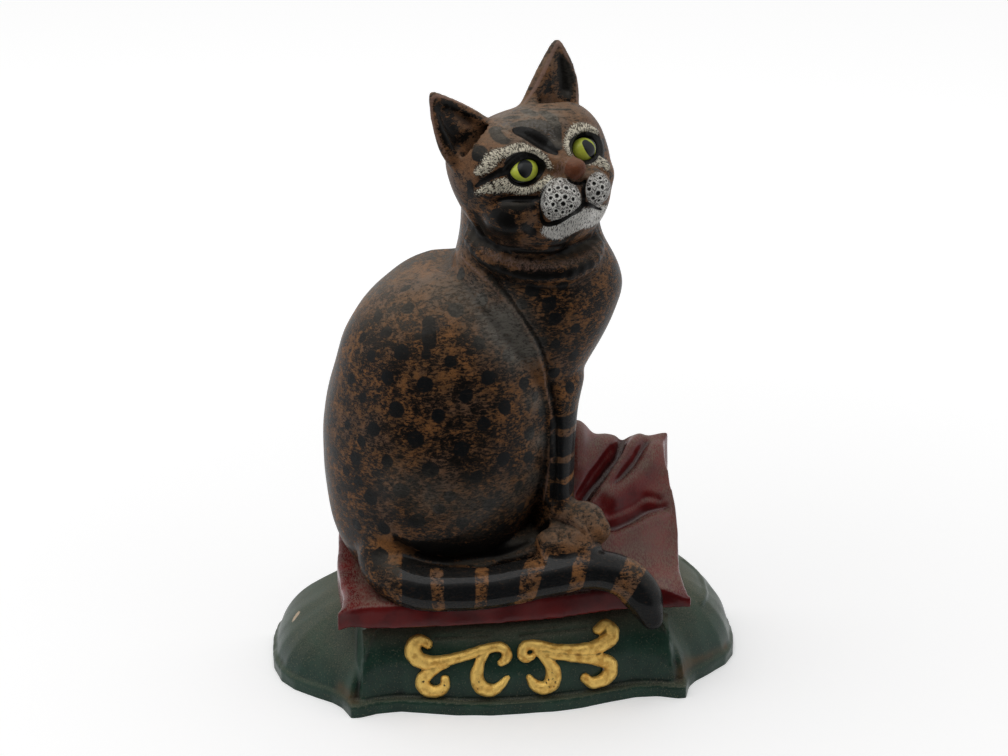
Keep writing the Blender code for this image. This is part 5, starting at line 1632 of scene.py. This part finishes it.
class DoorstopPaints(bpy.types.PropertyGroup):
    """The colours of the paints."""

    black: paint_property("Black", "Ground coat of the cat", (0.006, 0.0055, 0.005))
    brown: paint_property("Brown", "Coat brushed over the black", (0.185, 0.092, 0.038))
    orange: paint_property("Orange", "Warmest strokes of the brown", (0.330, 0.140, 0.045))
    # Dull brown, also laid on the haunch's edges as painted sheen
    dusk: paint_property("Dusk", "Dull brown of the head and the paws", (0.190, 0.115, 0.080))
    shade: paint_property("Shade", "Darker specks in the brown", (0.070, 0.040, 0.026))
    spot: paint_property("Spot", "Spots and bands", (0.007, 0.008, 0.009))
    cream: paint_property("Cream", "Fur round the eyes and on the chin", (0.900, 0.830, 0.660))
    white: paint_property("White", "The muzzle pads", (0.950, 0.930, 0.880))
    # Grey bloom of the varnish, also laid on as a painted sheen of light
    bloom: paint_property("Bloom", "Grey bloom of the old varnish", (0.215, 0.198, 0.170))
    grey: paint_property("Grey", "Strokes over the brow", (0.110, 0.105, 0.105))
    rose: paint_property("Rose", "Strokes on the ruff and the bridge of the nose",
                         (0.270, 0.160, 0.125))
    nose: paint_property("Nose", "The nose", (0.190, 0.064, 0.030))
    nose_edge: paint_property("Nose edge", "Darker specks of the nose", (0.120, 0.045, 0.026))
    # Dust, also laid on as a painted sheen of light on what faces up
    dust_and_sheen: paint_property("Dust", "Dust on what faces up", (0.250, 0.210, 0.160))
    red: paint_property("Red", "The cushion", (0.160, 0.012, 0.012))
    red_deep: paint_property("Deep red", "Darker parts of the cushion", (0.095, 0.008, 0.009))
    green: paint_property("Green", "The plinth", (0.018, 0.050, 0.034))
    green_deep: paint_property("Deep green", "Darker parts of the plinth", (0.012, 0.034, 0.024))
    # Dust on the plinth, also laid on as a painted sheen of light on what faces up
    dust_and_sheen_green: paint_property("Plinth dust", "Dust on the plinth", (0.150, 0.150, 0.105))
    rust: paint_property("Rust", "Rust in the plinth's corners", (0.110, 0.062, 0.026))
    chip: paint_property("Chip", "Where the green has chipped", (0.500, 0.380, 0.260))
    gold: paint_property("Gold", "The scrolls", (1.000, 0.660, 0.180))
    gold_deep: paint_property("Deep gold", "Darker parts of the scrolls", (0.560, 0.280, 0.050))
    gold_shadow: paint_property("Gold shadow", "Hollows of the scrolls", (0.040, 0.022, 0.008))
    iris: paint_property("Iris", "The eyes", (0.600, 0.660, 0.080))
    iris_edge: paint_property("Iris edge", "Rim of the iris", (0.300, 0.370, 0.035))
    pupil: paint_property("Pupil", "The pupils", (0.008, 0.009, 0.010))
    # Painted reflection in the top of the pupils
    pupil_reflection: paint_property("Pupil grey", "Upper part of the pupils", (0.022, 0.024, 0.026))


def settle(item, name, nodes, angle=40.0):
    """Name a finished casting, smooth it, and stand it in for its plain parts."""
    item.name = name
    item.data.name = name
    take(item)
    bpy.ops.object.shade_smooth_by_angle(angle=math.radians(angle))
    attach(item, "root")
    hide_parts(*nodes)


class DOORSTOP_OT_plinth(bpy.types.Operator):
    """Model the green plinth and its lobes, lip and grooves"""

    bl_idname = "doorstop.plinth"
    bl_label = "Plinth"

    def execute(self, context):
        sizes = context.scene.doorstop_sizes
        item = plinth_mass(sizes.plinth_grain, 2)
        surface = Surface(item)
        clay = Clay(item)
        for path, width, depth in PLINTH_LINES:
            clay.groove(surface.snap(finer(path, 4)), width, depth)
        clay.hills(13.0, sizes.unevenness * 1.3, 5.0)
        (left, front, _), (right, _, _) = (corner / MM for corner in CAD_BOX)
        clay.points[:, 0] = np.clip(clay.points[:, 0], left + SKIN_MARGIN, right - SKIN_MARGIN)
        clay.points[:, 1] = np.maximum(clay.points[:, 1], front + SKIN_MARGIN)
        clay.save()
        cut(item, bare(block("floor_trim", (-BEYOND,) * 3, (BEYOND, BEYOND, 0.0))))
        trim_back(item)
        cut(item, bare(self.core()))
        for x, y in CLAMP_SCREWS:
            cut(item, bare(rod("seat", (x, y, 5.0), (x, y, 26.5), CLAMP_SEAT)))
            cut(item, bare(rod("hole", (x, y, 21.5), (x, y, 55.0), CLAMP_HOLE)))
        for x, z in SCROLL_SCREWS:
            face = face_depth(x, z)
            cut(item, bare(rod("hole", (x, face - 1.7, z), (x, face + 10.0, z), SCROLL_HOLE)))
            cut(item, bare(rod("room", (x, face + 5.0, z), (x, face + 14.0, z),
                               SCROLL_HEAD_ROOM)))
        self.mark(item)
        item.data.materials[0] = plinth_finish(context.scene.doorstop_paints)
        settle(item, "plinth_casting", ["plinth"])
        return {"FINISHED"}

    def core(self):
        """What hollows the plinth: the block's inside and one hollow in each lobe."""
        inner = BACK - WALL
        rows = [(x * 0.96, min(y + 11.0, inner)) for x, y in BLOCK_HALF if x < 62.0]
        rows.append((rows[-1][0], inner))
        pieces = [loft("core", stack_rings(rows, BLOCK_HOLLOW_PROFILE))]
        near, far, front, height = LOBE_HOLLOW
        for left, right in ((-far, -near), (near, far)):
            pieces.append(block("core", (left, front, -height), (right, inner, height)))
        return melt(join(pieces, "core"), CORE_GRAIN, 2)

    def mark(self, item):
        """Where the lip and the ledge take dust and painted sheen, the corners are rusty and the
        paint has chipped.
        """
        clay = Clay(item)
        points = clay.points
        edge = [(x, y, FOOT_HEIGHT - 0.8, 0.6) for x, y in outline(FOOT_HALF, 0.9)]
        clay.mark("lip", np.clip(1.0 - stroke_gap(points, edge) / 1.6, 0.0, 1.0))
        clay.mark("ledge", np.clip((points[:, 2] - 23.5) / 6.0, 0.0, 1.0))
        rust = sum(np.exp(-(np.maximum(stroke_gap(points, path, False), 0.0) / reach) ** 2)
                   for path, reach in PLINTH_RUST)
        clay.mark("rust", np.clip(rust, 0.0, 1.0))
        clay.mark("chip", stroke_gap(points, PLINTH_CHIP))
        clay.mark("cavity", clay.cavity(6))


class DOORSTOP_OT_cushion(bpy.types.Operator):
    """Model the red cushion with its folds, creases and drooping corners"""

    bl_idname = "doorstop.cushion"
    bl_label = "Cushion"

    def execute(self, context):
        sizes = context.scene.doorstop_sizes
        item = cushion_mass(sizes.cushion_grain, 12)
        surface = Surface(item)
        clay = Clay(item)
        for path, width, height in CUSHION_FOLDS:
            line = [(x, y, cushion_top(x, y)) for x, y, _ in finer(path, 4)]
            clay.groove(surface.snap(line), width, -0.38 * height)
        for path, width, depth in CUSHION_LINES:
            clay.groove(surface.snap(finer(path, 5)), width, depth)
        clay.hills(11.0, sizes.unevenness, 11.0)
        clay.save()
        finish_with(item, "SMOOTH", factor=0.5, iterations=1)
        cut(item, bare(swell(plinth_mass(ROOM_GRAIN, 2), sizes.gap)))
        trim_back(item)
        cut(item, bare(draped("core", inside_place, cushion_ceiling, lambda x, y: 0.0, 40, 22)))
        bore(item, 20.0, 110.0)
        clay = Clay(item)
        # Dust and painted sheen are kept off the front band and the left side, which is left
        # darker as painted shade
        front = np.exp(-(np.maximum(clay.points[:, 2] - 40.5, 0.0) / 1.6) ** 2)
        left = np.clip((-57.0 - clay.points[:, 0]) / 5.0, 0.0, 1.0) * 0.45
        clay.mark("band", np.maximum(front, left))
        clay.mark("cavity", clay.cavity(6))
        item.data.materials[0] = cushion_finish(context.scene.doorstop_paints)
        settle(item, "cushion_casting", ["cushion"])
        return {"FINISHED"}


class DOORSTOP_OT_cat(bpy.types.Operator):
    """Model the cat, work its face and fur over, and lay its paints"""

    bl_idname = "doorstop.cat"
    bl_label = "Cat"

    def execute(self, context):
        sizes = context.scene.doorstop_sizes
        item = cat_mass(sizes.grain, 3)
        self.refine_face(item)
        surface = Surface(item)
        clay = Clay(item)
        clay.hills(13.0, sizes.unevenness, 17.0)
        work_body(clay, surface)
        work_face(clay, surface)
        clay.points[:, 2] = np.minimum(clay.points[:, 2], CAT_TOP)
        clay.save()
        for mass in (cushion_mass, plinth_mass):
            cut(item, bare(swell(mass(ROOM_GRAIN, 2), sizes.gap)))
        trim_back(item)
        cut(item, bare(cat_core()))
        for place, radii in EYES.values():
            radii = [radius + sizes.gap for radius in radii]
            cut(item, bare(ball("socket", place, radii, HEAD, 48)))
        bore(item, 20.0, 56.0)
        skin = CatSkin(item)
        skin.lay_spots()
        ink = skin.lay_face()
        skin.lay_strokes()
        skin.lay_brushing()
        skin.lay_varnish(ink)
        item.data.materials[0] = cat_finish(context.scene.doorstop_paints)
        settle(item, "cat_casting", ["cat"], 50.0)
        return {"FINISHED"}

    def refine_face(self, item):
        """Split the faces in front of the head once more, for the fine work there."""
        take(item)
        back = HEAD.inverted()
        for face in item.data.polygons:
            place = back @ (face.center / MM)
            face.select = (-30.0 < place.z < 17.0 and place.y < 8.0 and abs(place.x) < 31.0)
        bpy.context.tool_settings.mesh_select_mode = (False, False, True)
        bpy.ops.object.mode_set(mode="EDIT")
        bpy.ops.mesh.subdivide(number_cuts=1, smoothness=0.0)
        bpy.ops.object.mode_set(mode="OBJECT")


class DOORSTOP_OT_eyes(bpy.types.Operator):
    """Model the two varnished eyes"""

    bl_idname = "doorstop.eyes"
    bl_label = "Eyes"

    def execute(self, context):
        material = eye_finish(context.scene.doorstop_paints)
        for side, name in ((-1, "eye_left"), (1, "eye_right")):
            item = ball(name, *EYES[side], HEAD, 128)
            clay = Clay(item)
            seen = to_photo(clay.points)
            middle, half = IRIS[name]
            clay.mark("rim", np.hypot(*((seen - middle) / half).T))
            flat = np.column_stack((seen, np.zeros(len(seen))))
            stroke = [(across, down, 0.0, width) for across, down, width in finer(PUPIL[name], 4)]
            clay.mark("pupil", stroke_gap(flat, stroke) * PIXEL)
            # Painted reflection, full at the top of each pupil and fading out below the given row
            clay.mark("shine", np.clip((PUPIL_REFLECTION_ROW[name] - seen[:, 1]) / 8.0, 0.0, 1.0))
            coated(item, material)
            settle(item, name + "_painted", [name])
        return {"FINISHED"}


class DOORSTOP_OT_scrolls(bpy.types.Operator):
    """Model the gilt scrolls on the plinth's face"""

    bl_idname = "doorstop.scrolls"
    bl_label = "Scrolls"

    def execute(self, context):
        sizes = context.scene.doorstop_sizes
        material = gilt_finish(context.scene.doorstop_paints)
        room = bare(swell(plinth_mass(sizes.plinth_grain, 2), sizes.gap))
        for side, strands in SCROLLS.items():
            pieces = []
            for strand in strands:
                path = [(x, face_depth(x, z) - SCROLL_RISE, z, radius * SCROLL_FULLNESS)
                        for x, z, radius in finer(strand, 5)]
                pieces += tube("strand", path, 20)
            item = melt(join(pieces, "scroll"), sizes.scroll_grain, 3)
            clay = Clay(item)
            clay.hills(3.0, 0.30, 23.0)
            clay.save()
            cut(item, room, keep=True)
            clay = Clay(item)
            x, _, z = clay.points.T
            pits = np.minimum.reduce([np.hypot(x - across, z - up) - radius
                                      for across, up, radius in SCROLL_PITS[side]])
            clay.push(-0.35 * np.exp(-np.maximum(pits + 0.4, 0.0) ** 2 / 0.1))
            clay.save()
            clay.mark("pits", pits)
            clay.mark("cavity", clay.cavity(6))
            item.data.materials[0] = material
            settle(item, "scroll_%s_gilt" % side, ["scroll_" + side])
        bpy.data.objects.remove(room, do_unlink=True)
        return {"FINISHED"}


class DOORSTOP_OT_fasteners(bpy.types.Operator):
    """Finish the steel screws and washers inside the plinth"""

    bl_idname = "doorstop.fasteners"
    bl_label = "Fasteners"

    def execute(self, context):
        material = steel_finish()
        for name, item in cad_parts.items():
            if "screw" in name or "washer" in name:
                coated(item, material)
        return {"FINISHED"}


class DOORSTOP_OT_stage(bpy.types.Operator):
    """Set the floor, the light tent and the camera"""

    bl_idname = "doorstop.stage"
    bl_label = "Stage"

    def execute(self, context):
        floor = added("floor", bpy.ops.mesh.primitive_plane_add, size=1.0)
        front, side, back = FLOOR
        floor.data.transform(Matrix.Translation((0.0, (front + back) / 2, 0.0))
                             @ Matrix.Diagonal((2 * side, back - front, 1.0)).to_4x4())
        coated(floor, self.floor_material())
        self.tent(context)
        camera = bpy.data.cameras.new("camera")
        camera.sensor_width = SENSOR
        camera.lens = CAMERA_LENS
        item = bpy.data.objects.new("camera", camera)
        context.scene.collection.objects.link(item)
        item.location = CAMERA.translation * MM
        item.rotation_euler = CAMERA.to_euler()
        context.scene.camera = item
        context.scene.view_settings.view_transform = "Standard"
        lamp = added("top_softbox", bpy.ops.object.light_add, type="AREA", location=LAMP_PLACE)
        lamp.data.shape = "DISK"
        lamp.data.size = LAMP_SIZE
        lamp.data.energy = LAMP_POWER
        aim = Vector(LAMP_AIM) - lamp.location
        lamp.rotation_euler = aim.to_track_quat("-Z", "Y").to_euler()
        return {"FINISHED"}

    def floor_material(self):
        """A pale floor that shows white and keeps the object's shadow."""
        finish = Finish("pale_floor")
        finish.tree.nodes.remove(finish.shader)
        seen = (finish.ray("Is Camera Ray") + finish.ray("Is Glossy Ray")
                + finish.ray("Is Transmission Ray")).clamped()
        matt = finish.node("ShaderNodeBsdfDiffuse", {}, {"Color": (0.9, 0.9, 0.9, 1.0)})
        away = finish.node("ShaderNodeVectorMath", {"operation": "LENGTH"}, {0: finish.place},
                           "Value")
        near, more = FLOOR_GLOW
        glow = finish.node("ShaderNodeEmission", {},
                           {"Strength": seen * (near + more * away.rise(0.15, 0.6))})
        both = finish.node("ShaderNodeAddShader", {}, {0: matt, 1: glow})
        finish.feed(finish.tree.nodes["Material Output"].inputs["Surface"], both)
        return finish.material

    def tent(self, context):
        """White all round, and dark low down in front, where the floor ends."""
        world = bpy.data.worlds.new("light_tent")
        context.scene.world = world
        world.use_nodes = True
        nodes = Nodes(world.node_tree)
        turn, rise = math.radians(CAMERA_TURN), math.radians(DARK_RISE)
        front = (-math.sin(turn) * math.cos(rise), -math.cos(turn) * math.cos(rise),
                 math.sin(rise))
        place = nodes.node("ShaderNodeTexCoord", {}, {}, "Generated")
        toward = nodes.node("ShaderNodeVectorMath", {"operation": "DOT_PRODUCT"},
                            {0: place, 1: front}, "Value")
        full, none = (math.cos(math.radians(angle)) for angle in DARK_REACH)
        light = nodes.node("ShaderNodeMapRange", {}, {
            "Value": nodes.ray("Is Glossy Ray") + nodes.ray("Is Transmission Ray"),
            "To Min": TENT_LIGHT})
        cone = nodes.node("ShaderNodeMapRange", {"interpolation_type": "SMOOTHSTEP"}, {
            "Value": toward, "From Min": none, "From Max": full, "To Min": light,
            "To Max": TENT_DARK})
        strength = nodes.node("ShaderNodeMix", {},
                              {0: nodes.ray("Is Camera Ray"), 2: cone, 3: 1.0})
        shader = nodes.tree.nodes["Background"]
        nodes.feed(shader.inputs["Color"], (1.0, 1.0, 1.0, 1.0))
        nodes.feed(shader.inputs["Strength"], strength)


class DOORSTOP_PT_panel(bpy.types.Panel):
    """Everything the doorstop is made with"""

    bl_idname = "DOORSTOP_PT_panel"
    bl_label = "Cat Doorstop"
    bl_space_type = "VIEW_3D"
    bl_region_type = "UI"
    bl_category = "Doorstop"

    def draw(self, context):
        layout = self.layout
        for group in (context.scene.doorstop_sizes, context.scene.doorstop_paints):
            for name in group.__annotations__:
                layout.prop(group, name)
        for operator in STEPS:
            layout.operator(operator.bl_idname)


STEPS = (DOORSTOP_OT_plinth, DOORSTOP_OT_cushion, DOORSTOP_OT_cat, DOORSTOP_OT_eyes,
         DOORSTOP_OT_scrolls, DOORSTOP_OT_fasteners, DOORSTOP_OT_stage)
CLASSES = (DoorstopSizes, DoorstopPaints, *STEPS, DOORSTOP_PT_panel)


def register():
    for item in CLASSES:
        bpy.utils.register_class(item)
    bpy.types.Scene.doorstop_sizes = bpy.props.PointerProperty(type=DoorstopSizes)
    bpy.types.Scene.doorstop_paints = bpy.props.PointerProperty(type=DoorstopPaints)


def unregister():
    del bpy.types.Scene.doorstop_paints
    del bpy.types.Scene.doorstop_sizes
    for item in reversed(CLASSES):
        bpy.utils.unregister_class(item)


def main():
    register()
    bpy.ops.doorstop.plinth()
    bpy.ops.doorstop.cushion()
    bpy.ops.doorstop.cat()
    bpy.ops.doorstop.eyes()
    bpy.ops.doorstop.scrolls()
    bpy.ops.doorstop.fasteners()
    bpy.ops.doorstop.stage()


if __name__ == "__main__":
    main()
